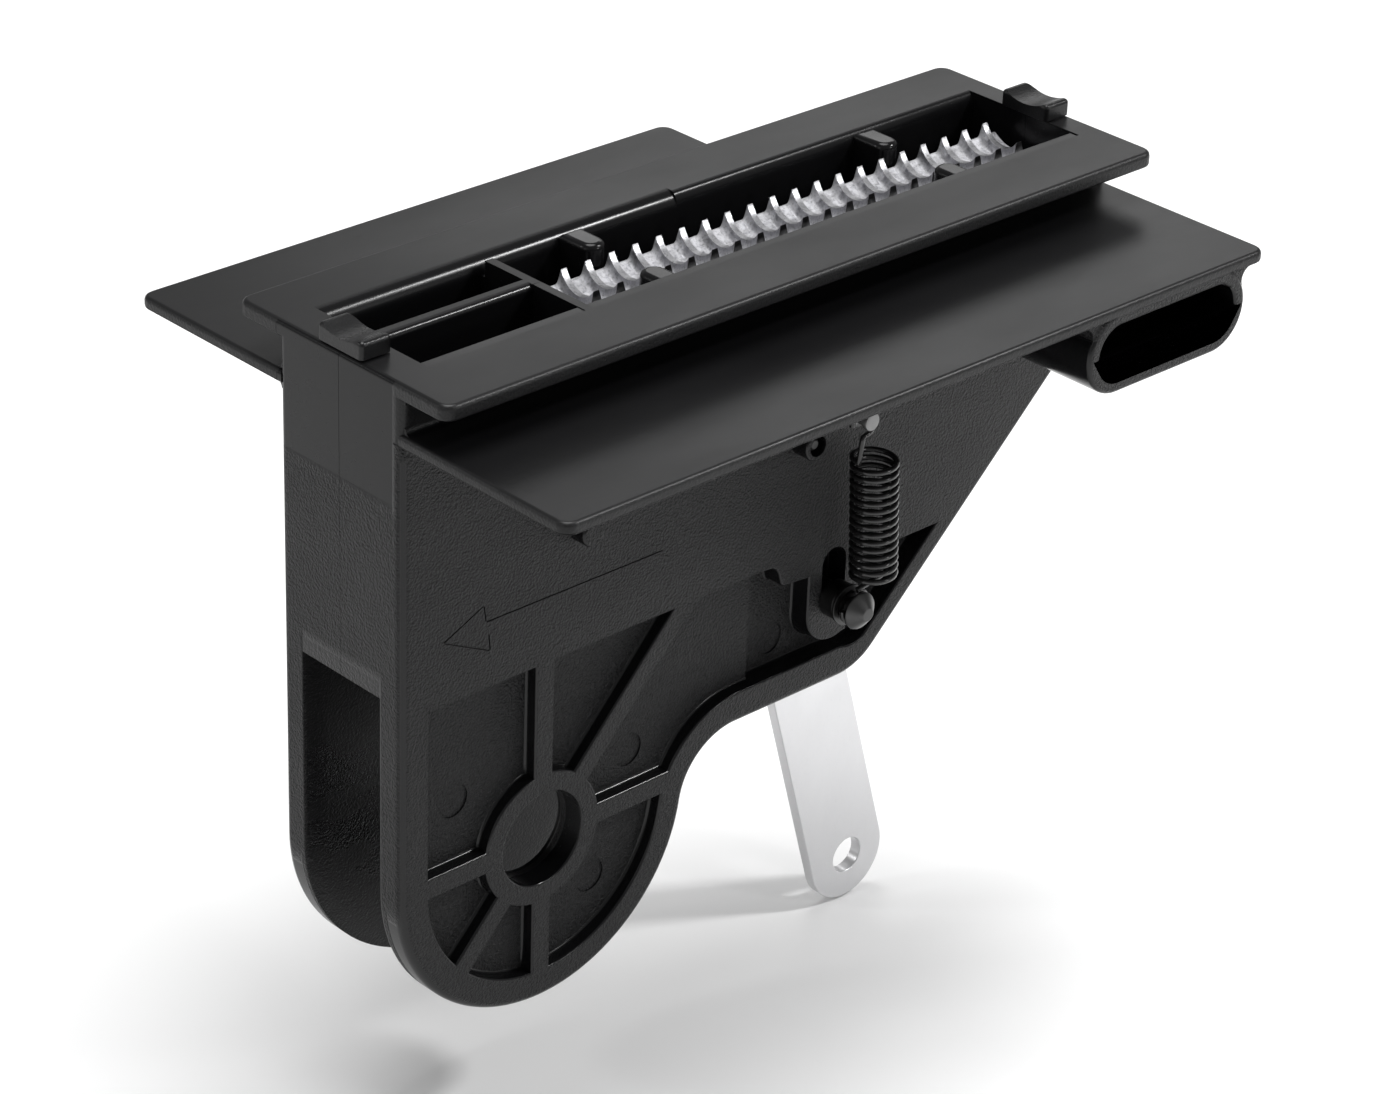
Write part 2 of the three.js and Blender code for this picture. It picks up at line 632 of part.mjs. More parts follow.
function coilPoint(u) {
  const s = SPRING;
  const angle = Math.PI - 2 * Math.PI * s.turns * u;
  const x = s.xTop + (s.xBottom - s.xTop) * u;
  const z = s.top + (s.bottom - s.top) * u;
  return new THREE.Vector3(x + s.r * Math.cos(angle), s.y + s.r * Math.sin(angle), z);
}

// round the pin for most of a turn, then straight to the end of the coil
function hookPoint(u, pin, loop, coilEnd, up) {
  const open = up > 0 ? 0.75 : 0.95;
  const wrap = 1.5 * Math.PI;
  const middle = pin.z - loop.drop;
  const foot = new THREE.Vector3(pin.x, SPRING.y, middle - up * loop.r);
  if (u > open) {
    return foot.lerp(coilEnd, (u - open) / (1 - open));
  }
  const angle = up * (-Math.PI / 2 + (1 - u / open) * wrap);
  return new THREE.Vector3(pin.x + loop.r * Math.cos(angle), SPRING.y, middle + loop.r * Math.sin(angle));
}

function extensionSpring() {
  const section = new THREE.Shape();
  section.absarc(0, 0, SPRING.wire, 0, 2 * Math.PI, false);
  const geometry = new THREE.ExtrudeGeometry(section, {
    steps: 176,
    curveSegments: 3,
    extrudePath: new SpringPath(),
  });
  return toSolid(geometry);
}

// ---------------------------------------------------------------- assembly
const finishes = {
  blackPlastic: { color: 0x1b1c1e, roughness: 0.42, metalness: 0 },
  zinc: { color: 0xb4b8bd, roughness: 0.4, metalness: 0.9 },
  bright: { color: 0xd3d6da, roughness: 0.32, metalness: 0.85 },
  darkSteel: { color: 0x5b5955, roughness: 0.4, metalness: 0.8 },
  springSteel: { color: 0x17181a, roughness: 0.25, metalness: 0.6 },
};

const carriage = new THREE.Group();
carriage.name = 'opener_carriage';

function place(name, solid, finish) {
  const mesh = new THREE.Mesh(toGeometry(solid), new THREE.MeshStandardMaterial(finishes[finish]));
  mesh.name = name;
  carriage.add(mesh);
}

place('spring_side_shell', shell('spring'), 'blackPlastic');
place('plain_side_shell', shell('plain'), 'blackPlastic');
place('door_end_saddle', saddle(-1), 'blackPlastic');
place('motor_end_saddle', saddle(1), 'blackPlastic');
place('half_nut', halfNut(), 'zinc');
place('release_lever', releaseLever(), 'bright');
place('lever_pin', leverPin(), 'darkSteel');
place('lever_washer_spring_side', washer(PIN.x, PIN.z, PIN.r + GAP, 5.8, -2.7, -1.85), 'bright');
place('lever_washer_plain_side', washer(PIN.x, PIN.z, PIN.r + GAP, 5.8, 1.85, 2.7), 'bright');
const outerWasher = washer(PIN.x, PIN.z, PIN.r + GAP, PIN_WASHER.r, PIN_WASHER.y0, PIN_WASHER.y1);
place('pin_washer', outerWasher, 'darkSteel');
place('pin_clip', pinClip(), 'darkSteel');
place('cam_rest_bar', camBar(), 'bright');
place('extension_spring', extensionSpring(), 'springSteel');
place('spring_anchor_screw', anchorScrew(), 'darkSteel');
SHELL_SCREWS.forEach(([x, z], i) => {
  const blindTip = -WEB_HALF + (i === PANEL_SCREW ? DEEP_PANEL + 0.5 : 2.5);
  const tip = i === OPEN_SCREW ? -22 : blindTip;
  place(`shell_screw_${i + 1}`, shellScrew(x, z, tip), 'bright');
});

export default carriage;
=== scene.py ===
"""The looks of a screw-drive garage door opener carriage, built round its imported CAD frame.

Shapes are worked out in millimetres, in the frame's axes, and scaled to metres as they are placed.
"""

import math

import bmesh
import bpy
from mathutils import Matrix, Vector


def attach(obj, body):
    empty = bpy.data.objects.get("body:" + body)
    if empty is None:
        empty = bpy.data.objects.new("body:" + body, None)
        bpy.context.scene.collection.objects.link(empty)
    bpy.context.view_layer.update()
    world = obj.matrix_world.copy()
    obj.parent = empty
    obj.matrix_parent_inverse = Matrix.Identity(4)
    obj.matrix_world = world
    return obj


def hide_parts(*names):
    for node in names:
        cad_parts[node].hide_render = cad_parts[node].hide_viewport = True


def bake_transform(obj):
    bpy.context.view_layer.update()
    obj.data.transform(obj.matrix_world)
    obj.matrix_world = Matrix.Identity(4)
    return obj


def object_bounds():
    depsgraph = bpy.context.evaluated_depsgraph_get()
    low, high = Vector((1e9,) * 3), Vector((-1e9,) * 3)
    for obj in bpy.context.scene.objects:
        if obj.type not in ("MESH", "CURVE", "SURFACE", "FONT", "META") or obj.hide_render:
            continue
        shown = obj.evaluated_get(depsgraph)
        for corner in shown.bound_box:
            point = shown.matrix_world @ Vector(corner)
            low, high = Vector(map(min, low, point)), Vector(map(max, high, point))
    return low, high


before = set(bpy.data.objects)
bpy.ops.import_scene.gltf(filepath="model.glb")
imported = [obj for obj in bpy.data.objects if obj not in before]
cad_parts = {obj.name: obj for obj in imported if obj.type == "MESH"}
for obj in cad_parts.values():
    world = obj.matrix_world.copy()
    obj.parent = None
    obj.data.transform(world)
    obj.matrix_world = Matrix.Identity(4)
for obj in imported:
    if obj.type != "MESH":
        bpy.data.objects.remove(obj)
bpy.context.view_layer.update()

MM = 0.001
TAU = 2 * math.pi

# ------------------------------------------------------------ dimensions, as in the CAD
END = 97.5
PLATE_HALF = 31.3
PLATE_THICK = 3.4
WING_TOP = -10.6
WING_UNDER = -13.3
WING_REACH = {-1: 64.5, 1: 63.1}
WING_END = {-1: 96.0, 1: 44.0}
WEB_HALF = 18.5
WALL = 3.2
BAY_HALF = 15.3
PARTING = 0.05
LOBE = (-59.3, -113.9, 38.2)
SHELF_Z, FILLET_R, CHIN_R = -106.7, 14.8, 15.2
SLOPE_X, SLOPE_Z, SLOPE = 32.5, -103.96, math.radians(43.7)
BORE = (-60.5, -113.2, 10.5)
HUB_R = 15.2
SPOKE_HALF = 2.5
SPOKE_DEGREES = (0, 47.2, 90, 180, 227.2, 270)
SLOT_HALF, SLOT_MOUTH, SLOT_LEAD = 11.2, 12.0, 5.3
SLOT_TOP, SLOT_BACK = -69.5, -17.0
RIM = (7.05, 7.8, 5.6)
PANEL_TOP, PANEL_DEPTH, PANEL_SPLIT, DEEP_PANEL = -72.6, 3.0, -1.9, 5.0
DEEP_REGION = [(PANEL_SPLIT, -200), (END, -200), (END, -78.7), (12, -78.7), (5.2, -78.0), (4.5, -77.3),
               (3.6, -74.4), (2.9, -73.4), (1.8, -72.8), (PANEL_SPLIT, -72.5)]
EJECTORS = ((-82, -97.1, PANEL_DEPTH), (-35.2, -103.3, PANEL_DEPTH), (-45, -129.7, PANEL_DEPTH),
            (6.4, -92.8, DEEP_PANEL))
EJECTOR_R, EJECTOR_DEPTH = 3.8, 0.35
ARROW = (((-87, -58.3), (-76.9, -53.6)), ((-76.9, -53.6), (-76.3, -57.4)), ((-76.3, -57.4), (-29.7, -57.5)),
         ((-87, -58.3), (-75.2, -64.1)), ((-75.2, -64.1), (-75.6, -60.2)))
ARROW_LINE_HALF, ARROW_DEPTH = 0.3, 0.3
CORNER_R, WEB_ROUND = 3.0, 2.1
TROUGH_X0, TROUGH_X1 = -88.7, 91.0
RIB_X, RIB_HALF = -48.3, 1.0
FLOOR_Z = -24.0
GUIDE_X, GUIDE_HALF, GUIDE_NOSE, GUIDE_TOP = (-25.9, 57.2), 3.0, 6.5, -0.3
PITCH, TEETH, FIRST_TOOTH = 6.35, 20, -35.5
NUT_X0, NUT_X1, NUT_HALF, NUT_BOTTOM = -44.0, 88.0, 5.9, -15.0
SCREW_Z, ROOT_R, CREST_R = 1.5, 9.0, 7.1
PIN_X, PIN_Z, PIN_R = 20.0, -85.5, 3.0
PIN_TIP, PIN_END = -29.2, 21.6
LIFT, SWING = 8.0, math.radians(45)
LEAN, LEVER_HALF, LEVER_OFFSET, LEVER_REACH = math.radians(16.5), 10.75, 2.3, 88.0
LEVER_HOLE, LEVER_THICK_HALF, CAM_HIGH, GAP = 4.25, 1.5, 18.3, 0.35
BAR_X0, BAR_X1, BAR_Z0, BAR_HALF, BAR_HIGH = 5.6, 13.6, PIN_Z + CAM_HIGH + GAP, 11.0, 5.0
ANCHOR_X, ANCHOR_Z, ANCHOR_R, ANCHOR_TIP = 19.7, -41.0, 2.0, -27.6
SPRING_Y, SPRING_R, WIRE_R, SPRING_TURNS = -25.0, 4.65, 0.62, 15.5
SPRING_TOP, SPRING_BOTTOM = (23.5, -51.0), (25.2, -79.9)
ANCHOR_LOOP, PIN_LOOP = (3.4, -0.95), (3.6, 0.45)
SCREWS = [(-52, -44.7), (8.7, -44.8), (58, -44.8), (-87, -56), (-7.5, -88), (84, -30)]
SCREW_BOSS_R, SCREW_BORE_R = 3.8, 2.25
SCREW_TIP, ODD_SCREW_TIPS = -16.0, {1: -22.0, 4: -13.0}
TUBE = (42.5, 90.3, -30.2, -11.8)
TUBE_WALL = 3.3
SADDLE_DEPTH, SADDLE_HALF, SADDLE_TOP, SADDLE_LOW, SADDLE_R = 7.4, 6.65, 3.9, 2.6, 12.0


# ------------------------------------------------------------ outlines, lists of (u, v)
def arc(cu, cv, r, a0, a1, steps, r_end=None):
    """Points from angle a0 to a1, the radius changing evenly to r_end if one is given."""
    r_end = r if r_end is None else r_end
    turns = [(r + (r_end - r) * i / steps, a0 + (a1 - a0) * i / steps) for i in range(steps + 1)]
    return [(cu + radius * math.cos(a), cv + radius * math.sin(a)) for radius, a in turns]


def ring(cu, cv, r, steps=40):
    return arc(cu, cv, r, 0, TAU, steps)[:-1]


def rectangle(u0, u1, v0, v1, r=0.0, steps=5, corners=(1, 1, 1, 1)):
    """A rectangle whose corners, from the lowest on anticlockwise, are rounded where corners says 1."""
    centres = [(u0, v0, 1, 1, math.pi), (u1, v0, -1, 1, 1.5 * math.pi),
               (u1, v1, -1, -1, 0), (u0, v1, 1, -1, math.pi / 2)]
    points = []
    for (u, v, du, dv, a), on in zip(centres, corners):
        if r and on:
            points += arc(u + du * r, v + dv * r, r, a, a + math.pi / 2, steps)
        else:
            points.append((u, v))
    return points


def obround(u0, u1, v0, v1, steps=14):
    return rectangle(u0, u1, v0, v1, min(u1 - u0, v1 - v0) / 2 - 1e-3, steps)


def inset_outline(points, inset):
    """Moves an anticlockwise outline inwards, mitred at its corners."""
    if not inset:
        return points
    count = len(points)
    moved = []
    for i, (u, v) in enumerate(points):
        before, after = points[i - 1], points[(i + 1) % count]
        a = Vector((u - before[0], v - before[1])).normalized()
        b = Vector((after[0] - u, after[1] - v)).normalized()
        na, nb = Vector((-a.y, a.x)), Vector((-b.y, b.x))
        shift = (na + nb) * (inset / max(0.3, 1 + na.dot(nb)))
        moved.append((u + shift.x, v + shift.y))
    return moved


def body_outline(inset, top):
    """The side outline in X and Z, closed at the given top and moved inwards.

    The inset is one distance, or three: along the lobe, the shelf and the slope.
    """
    lobe, shelf, slope = inset if isinstance(inset, tuple) else (inset, inset, inset)
    drop = LOBE[1] - (SHELF_Z - FILLET_R)
    fillet_x = LOBE[0] + math.sqrt((LOBE[2] + FILLET_R) ** 2 - drop ** 2)
    turn = math.asin(drop / (LOBE[2] + FILLET_R))
    meet = SLOPE_X + (SHELF_Z - SLOPE_Z) / math.tan(SLOPE)
    chin_x = meet - CHIN_R * math.tan(SLOPE / 2)
    slope_end = SLOPE_Z + (END - slope - SLOPE_X) * math.tan(SLOPE) + slope / math.cos(SLOPE)
    points = [(-END + lobe, top)]
    points += arc(LOBE[0], LOBE[1], LOBE[2] - lobe, math.pi, TAU - turn, 64)
    points += arc(fillet_x, SHELF_Z - FILLET_R, FILLET_R + lobe, math.pi - turn, math.pi / 2, 16,
                  FILLET_R + shelf)
    points += arc(chin_x, SHELF_Z + CHIN_R, CHIN_R - shelf, 1.5 * math.pi, 1.5 * math.pi + SLOPE, 12,
                  CHIN_R - slope)
    points += [(END - slope, slope_end), (END - slope, top)]
    return points


# ------------------------------------------------------------ solids, in millimetres
def rim(t0, t1, r0=0.0, r1=0.0, steps=4):
    """Levels of (t, inset) from t0 to t1. A positive radius rounds an end in, a negative one flares it."""
    levels = [(t0 + abs(r0) * (1 - math.sin(a)), r0 * (1 - math.cos(a)))
              for a in (math.pi / 2 * (1 - i / steps) for i in range(steps + 1))] if r0 else [(t0, 0.0)]
    levels += [(t1 - abs(r1) * (1 - math.sin(a)), r1 * (1 - math.cos(a)))
               for a in (math.pi / 2 * i / steps for i in range(steps + 1))] if r1 else [(t1, 0.0)]
    return levels


def solid(vertices, faces):
    mesh = bpy.data.meshes.new("tool")
    mesh.from_pydata(vertices, [], faces)
    work = bmesh.new()
    work.from_mesh(mesh)
    bmesh.ops.remove_doubles(work, verts=work.verts, dist=1e-5)
    bmesh.ops.recalc_face_normals(work, faces=work.faces)
    work.to_mesh(mesh)
    work.free()
    obj = bpy.data.objects.new("tool", mesh)
    bpy.context.scene.collection.objects.link(obj)
    return obj


PLACE = {
    "x": lambda u, v, t: (t, u, v),
    "y": lambda u, v, t: (u, t, v),
    "-y": lambda u, v, t: (u, -t, v),
    "z": lambda u, v, t: (u, v, t),
}


def sweep(outline, levels, axis):
    """Stacks an outline along an axis, at the given levels."""
    area = sum(p[0] * q[1] - q[0] * p[1] for p, q in zip(outline, outline[1:] + outline[:1]))
    outline = outline if area > 0 else outline[::-1]
    place = PLACE[axis]
    count = len(outline)
    vertices = [place(u, v, t) for t, inset in levels for u, v in inset_outline(outline, inset)]
    faces = [tuple(range(count))[::-1], tuple(range(len(vertices) - count, len(vertices)))]
    for level in range(len(levels) - 1):
        for i in range(count):
            a, b = level * count + i, level * count + (i + 1) % count
            faces.append((a, b, b + count, a + count))
    return solid(vertices, faces)


def block(x0, x1, y0, y1, z0, z1):
    return sweep(rectangle(x0, x1, y0, y1), [(z0, 0), (z1, 0)], "z")


def side_block(side, x0, x1, y0, y1, z0, z1):
    return block(x0, x1, min(side * y0, side * y1), max(side * y0, side * y1), z0, z1)


def side_axis(side):
    return "y" if side > 0 else "-y"


def turned(x, z, profile, steps=40):
    """A solid turned about an axis along Y through x and z, from a profile of (radius, y)."""
    vertices = [(x + r * math.cos(TAU * i / steps), y, z + r * math.sin(TAU * i / steps))
                for r, y in profile for i in range(steps)]
    faces = [tuple(range(steps)), tuple(range(len(vertices) - steps, len(vertices)))]
    for level in range(len(profile) - 1):
        for i in range(steps):
            a, b = level * steps + i, level * steps + (i + 1) % steps
            faces.append((a, b, b + steps, a + steps))
    return solid(vertices, faces)


def rod(side, x, z, r, y0, y1, r0=0.0, r1=0.0, steps=32):
    return sweep(ring(x, z, r, steps), rim(y0, y1, r0, r1), side_axis(side))


def carve(base, *steps):
    """Applies (operation, tool) steps to base with booleans, and drops the tools."""
    for operation, tool in steps:
        modifier = base.modifiers.new("step", "BOOLEAN")
        modifier.operation = operation
        modifier.solver = "MANIFOLD"
        modifier.object = tool
        graph = bpy.context.evaluated_depsgraph_get()
        mesh = bpy.data.meshes.new_from_object(base.evaluated_get(graph))
        base.modifiers.clear()
        base.data = mesh
        bpy.data.objects.remove(tool)
    return base


def add(base, *tools):
    return carve(base, *(("UNION", tool) for tool in tools))


def cut(base, *tools):
    return carve(base, *(("DIFFERENCE", tool) for tool in tools))


def keep(base, tool):
    return carve(base, ("INTERSECT", tool))


def settle(obj, name, body, material, nodes, crease=32):
    """Cleans a finished solid, scales it to metres, and hands it to the frame in place of its CAD nodes.

    Edges that turn by more than the crease angle stay sharp.
    """
    work = bmesh.new()
    work.from_mesh(obj.data)
    bmesh.ops.remove_doubles(work, verts=work.verts, dist=2e-3)
    bmesh.ops.dissolve_limit(work, angle_limit=math.radians(0.2), verts=work.verts, edges=work.edges)
    for face in work.faces:
        face.smooth = True
    for edge in work.edges:
        edge.smooth = edge.is_manifold and edge.calc_face_angle(math.pi) < math.radians(crease)
    work.to_mesh(obj.data)
    work.free()
    obj.data.transform(Matrix.Scale(MM, 4))
    obj.data.materials.clear()
    obj.data.materials.append(material)
    obj.name = obj.data.name = name
    normals = obj.modifiers.new("weighted", "WEIGHTED_NORMAL")
    normals.keep_sharp = True
    normals.weight = 80
    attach(obj, body)
    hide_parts(*nodes)
    return obj


# ------------------------------------------------------------ materials
class Nodes:
    """A small helper that wires a node material."""

    def __init__(self, name):
        self.material = bpy.data.materials.new(name)
        self.material.use_nodes = True
        self.tree = self.material.node_tree
        self.shader = self.tree.nodes["Principled BSDF"]
        self.coordinates = self.add("ShaderNodeTexCoord").outputs["Object"]
        self.position = self.add("ShaderNodeSeparateXYZ", {0: self.coordinates})
        geometry = self.add("ShaderNodeNewGeometry")
        self.normal = self.add("ShaderNodeSeparateXYZ", {0: geometry.outputs["Normal"]})

    def put(self, socket, value):
        if isinstance(value, bpy.types.NodeSocket):
            self.tree.links.new(value, socket)
        else:
            socket.default_value = value

    def add(self, kind, inputs=None, **settings):
        node = self.tree.nodes.new(kind)
        for key, value in settings.items():
            setattr(node, key, value)
        for key, value in (inputs or {}).items():
            self.put(node.inputs[key], value)
        return node

    def noise(self, scale, detail=3.0, rough=0.55, stretch=None):
        vector = self.coordinates
        if stretch:
            vector = self.add("ShaderNodeMapping", {"Vector": vector, "Scale": stretch}).outputs[0]
        node = self.add("ShaderNodeTexNoise",
                        {"Vector": vector, "Scale": scale, "Detail": detail, "Roughness": rough})
        return node.outputs["Fac"]

    def pebbles(self, scale):
        node = self.add("ShaderNodeTexVoronoi", {"Vector": self.coordinates, "Scale": scale},
                        feature="SMOOTH_F1")
        return node.outputs["Distance"]

    def spread(self, value, low, high, to_low=0.0, to_high=1.0):
        node = self.add("ShaderNodeMapRange", {"Value": value, "From Min": low, "From Max": high,
                                               "To Min": to_low, "To Max": to_high})
        node.clamp = True
        return node.outputs[0]

    def math(self, operation, a, b=0.0):
        return self.add("ShaderNodeMath", {0: a, 1: b}, operation=operation).outputs[0]

    def blend(self, factor, a, b):
        node = self.add("ShaderNodeMix", {"Factor": factor}, data_type="RGBA")
        self.put(node.inputs[6], a)
        self.put(node.inputs[7], b)
        return node.outputs[2]

    def bump(self, height, strength, distance, under=None):
        inputs = {"Height": height, "Strength": strength, "Distance": distance}
        if under:
            inputs["Normal"] = under
        return self.add("ShaderNodeBump", inputs).outputs[0]

    def finish(self, **sockets):
        for key, value in sockets.items():
            self.put(self.shader.inputs[key.replace("_", " ")], value)
        return self.material


def grey(value, blue=0.0):
    return (value, value, value + blue, 1.0)


def plastic(name, gloss, base=0.004, leather=True):
    """Black moulded plastic: satin flats, grained outer sides, smooth hollows and slot walls, and painted
    shade: less specular reflection on faces turned downwards and in the trough's hollows.
    """
    n = Nodes(name)
    y, z = n.position.outputs["Y"], n.position.outputs["Z"]
    across = n.math("ABSOLUTE", y)
    up = n.spread(n.math("ABSOLUTE", n.normal.outputs["Z"]), 0.55, 0.8)
    side = n.math("SUBTRACT", 1.0, up)
    inside = n.math("MULTIPLY", n.spread(y, -0.0165, -0.0158), n.spread(y, 0.0187, 0.019, 1.0, 0.0))
    inside = n.math("MULTIPLY", inside, n.spread(z, -0.03, -0.026))
    inside = n.math("MULTIPLY", inside, n.spread(z, -0.0003, -0.0001, 1.0, 0.0))
    slot = n.spread(across, 0.0119, 0.0123, 1.0, 0.0)
    slot = n.math("MULTIPLY", slot, n.spread(z, -0.066, -0.064, 1.0, 0.0))
    walls = n.spread(n.math("ABSOLUTE", n.normal.outputs["Y"]), 0.9, 0.97, 1.0, 0.0)
    walls = n.math("MULTIPLY", walls, n.spread(across, 0.0134, 0.0136))
    walls = n.math("MULTIPLY", walls, n.spread(n.position.outputs["X"], -0.0974, -0.097))
    walls = n.math("MULTIPLY", walls, n.spread(z, -0.0165, -0.016, 1.0, 0.0))
    flow = n.noise(28, 5.0, 0.6, (0.35, 1.0, 1.0))
    scuffs = n.noise(900, 6.0, 0.75, (0.25, 1.0, 1.0))
    lint = n.spread(n.noise(2600, 2.0, 0.5), 0.72, 0.8)
    rough = n.spread(flow, 0.3, 0.7, gloss - 0.05, gloss + 0.06)
    rough = n.math("ADD", rough, n.math("MULTIPLY", side, 0.08))
    rough = n.math("ADD", rough, n.spread(scuffs, 0.62, 0.8, 0.0, 0.12))
    smooth = n.math("MAXIMUM", inside, n.math("MAXIMUM", n.math("MULTIPLY", slot, 0.8), walls))
    rough = n.math("SUBTRACT", rough, n.math("MULTIPLY", smooth, 0.2))
    # painted shade: the specular level is cut on faces turned downwards and in the trough's hollows, where
    # shade falls
    down = n.spread(n.normal.outputs["Z"], -0.9, -0.2, 1.0, 0.0)
    painted_shade = n.math("MAXIMUM", n.math("MULTIPLY", down, 0.26), n.math("MULTIPLY", inside, 0.12))
    level = n.math("SUBTRACT", 0.38, painted_shade)
    if leather:
        grained = n.math("MULTIPLY", side, n.spread(z, -0.0131, -0.0127, 1.0, 0.15))
        grained = n.math("MULTIPLY", grained, n.math("SUBTRACT", 1.0, smooth))
    else:
        grained = 0.08
    pebble = n.math("ADD", n.noise(1500, 4.0, 0.62), n.math("MULTIPLY", n.pebbles(2300), 0.6))
    normal = n.bump(n.math("MULTIPLY", pebble, grained), 1.0, 0.0007)
    normal = n.bump(n.noise(4200, 3.0, 0.6), 0.25, 0.00003, normal)
    normal = n.bump(n.noise(120, 3.0, 0.5), 0.25, 0.00008, normal)
    worn = n.math("MULTIPLY", n.spread(n.noise(1300, 4.0, 0.65), 0.5, 0.72), grained)
    colour = n.blend(worn, grey(base, 0.0004), grey(base * 3.6, 0.0008))
    colour = n.blend(n.math("MULTIPLY", lint, 0.25), colour, grey(base * 14))
    return n.finish(Base_Color=colour, Roughness=rough, Normal=normal, IOR=1.43, Specular_IOR_Level=level)


def cast_zinc():
    """Frosty die casting in the thread's roots, with bright worn crests and grey ends."""
    n = Nodes("cast_zinc")
    y, z = n.position.outputs["Y"], n.math("SUBTRACT", n.position.outputs["Z"], SCREW_Z * MM)
    radius = n.math("SQRT", n.math("ADD", n.math("MULTIPLY", y, y), n.math("MULTIPLY", z, z)))
    root = n.spread(radius, (CREST_R + 0.6) * MM, (ROOT_R - 0.3) * MM)
    crest = n.spread(radius, (CREST_R + 0.12) * MM, (CREST_R + 0.02) * MM)
    ends = n.spread(n.math("ABSOLUTE", y), 5.55 * MM, 5.85 * MM)
    frost = n.spread(n.noise(900, 5.0, 0.65), 0.3, 0.55)
    frosty = n.math("MULTIPLY", root, frost)
    stain = n.spread(n.noise(420, 4.0, 0.6), 0.45, 0.7)
    speck = n.spread(n.noise(1700, 4.0, 0.6), 0.52, 0.7)
    colour = n.blend(frosty, grey(0.3, 0.02), grey(0.5, 0.02))
    colour = n.blend(n.math("MULTIPLY", stain, 0.5), colour, grey(0.12))
    colour = n.blend(n.math("MULTIPLY", crest, 0.6), colour, grey(0.4, 0.01))
    colour = n.blend(n.math("MULTIPLY", speck, 0.6), colour, grey(0.1))
    colour = n.blend(n.math("MULTIPLY", ends, 0.55), colour, grey(0.16))
    rough = n.math("ADD", n.spread(frosty, 0, 1, 0.34, 0.7), n.math("MULTIPLY", stain, 0.1))
    metal = n.spread(frosty, 0, 1, 1.0, 0.35)
    normal = n.bump(n.noise(2600, 4.0, 0.6), 0.5, 0.00008)
    normal = n.bump(n.noise(500, 2.0, 0.5), 0.4, 0.00014, normal)
    return n.finish(Base_Color=colour, Roughness=rough, Metallic=metal, Normal=normal)


def steel(name, base, rough, blue=0.0, streak=(1.0, 1.0, 1.0), mottle=0.25, dark=0.5, shade_below=None):
    """Mottled metal; a part at Y below the given level, in millimetres, is rougher and painted dark: painted
    shade on a screw's tip down in its hole.
    """
    n = Nodes(name)
    cloud = n.noise(150, 6.0, 0.62, streak)
    speck = n.spread(n.noise(1800, 3.0, 0.6), 0.6, 0.78)
    tint = n.math("MULTIPLY", n.spread(cloud, 0.35, 0.68), mottle)
    tint = n.math("ADD", tint, n.math("MULTIPLY", speck, 0.15))
    colour = n.blend(tint, grey(base, blue), grey(base * dark, blue))
    roughness = n.spread(cloud, 0.3, 0.7, rough - 0.05, rough + 0.07)
    roughness = n.math("ADD", roughness, n.math("MULTIPLY", speck, 0.08))
    if shade_below is not None:
        # painted shade: below the given Y the colour is blended to near black for a screw tip down in its
        # hole; the added roughness is real
        tip_shade = n.spread(n.position.outputs["Y"], shade_below * MM, (shade_below + 2) * MM, 1.0, 0.0)
        colour = n.blend(tip_shade, colour, grey(0.06))
        roughness = n.math("ADD", roughness, n.math("MULTIPLY", tip_shade, 0.2))
    normal = n.bump(n.noise(2400, 3.0, 0.6, streak), 0.3, 0.00003)
    return n.finish(Base_Color=colour, Roughness=roughness, Metallic=1.0, Normal=normal)


shell_plastic = plastic("black_nylon", 0.36)
saddle_plastic = plastic("smooth_black_plastic", 0.27, leather=False)
zinc = cast_zinc()
lever_plate = steel("bright_zinc_plate", 0.68, 0.33, 0.01, (0.5, 1.0, 0.25), 0.16, 0.72)
dark_steel = steel("phosphated_steel", 0.07, 0.36)
anchor_steel = steel("dull_grey_steel", 0.2, 0.45)
screw_zinc = steel("screw_zinc_plate", 0.62, 0.32, shade_below=-14)
spring_black = steel("black_spring_wire", 0.012, 0.16)
spring_black.node_tree.nodes["Principled BSDF"].inputs["Metallic"].default_value = 0.0


# ------------------------------------------------------------ the two shells
def sunk(floor):
    """Levels of a sunk panel: a filleted floor and a rounded rim."""
    return rim(floor, WEB_HALF, 0.8, -0.6) + [(WEB_HALF + 1, -0.6)]


def standing(floor):
    """Levels of what's left standing in a sunk panel."""
    return [(floor - 1, -0.8)] + rim(floor, WEB_HALF, -0.8, 0.6) + [(WEB_HALF + 2, 0.6)]


def lobe_panel(side):
    """The sunk panel round the door arm's bore, less the hub and the spokes that stand in it."""
    axis = side_axis(side)
    floor = WEB_HALF - PANEL_DEPTH
    panel = sweep(body_outline(RIM, 0), sunk(floor), axis)
    panel = keep(panel, sweep(rectangle(-END, PANEL_SPLIT + 1, -200, PANEL_TOP), sunk(floor), axis))
    tools = [sweep(ring(BORE[0], BORE[1], HUB_R, 64), standing(floor), axis)]
    for degrees in SPOKE_DEGREES:
        c, s = math.cos(math.radians(degrees)), math.sin(math.radians(degrees))
        outline = [(BORE[0] + c * a - s * b, BORE[1] + s * a + c * b)
                   for a, b in ((0, -SPOKE_HALF), (62, -SPOKE_HALF), (62, SPOKE_HALF), (0, SPOKE_HALF))]
        tools.append(sweep(outline, standing(floor), axis))
    if side > 0:
        x, z = SCREWS[4]
        head_room = 5.4
        tools.append(rod(side, x, z, head_room, floor - 1, WEB_HALF + 2))
    return cut(panel, *tools)


def pin_panel(side):
    """The deeper panel round the lever's pin, less the boss that the pin comes through."""
    axis = side_axis(side)
    floor = WEB_HALF - DEEP_PANEL
    panel = keep(sweep(body_outline(RIM, 0), sunk(floor), axis), sweep(DEEP_REGION, sunk(floor), axis))
    return cut(panel, sweep(obround(12.7, 27.9, -95.9, PANEL_TOP + 12), standing(floor), axis))


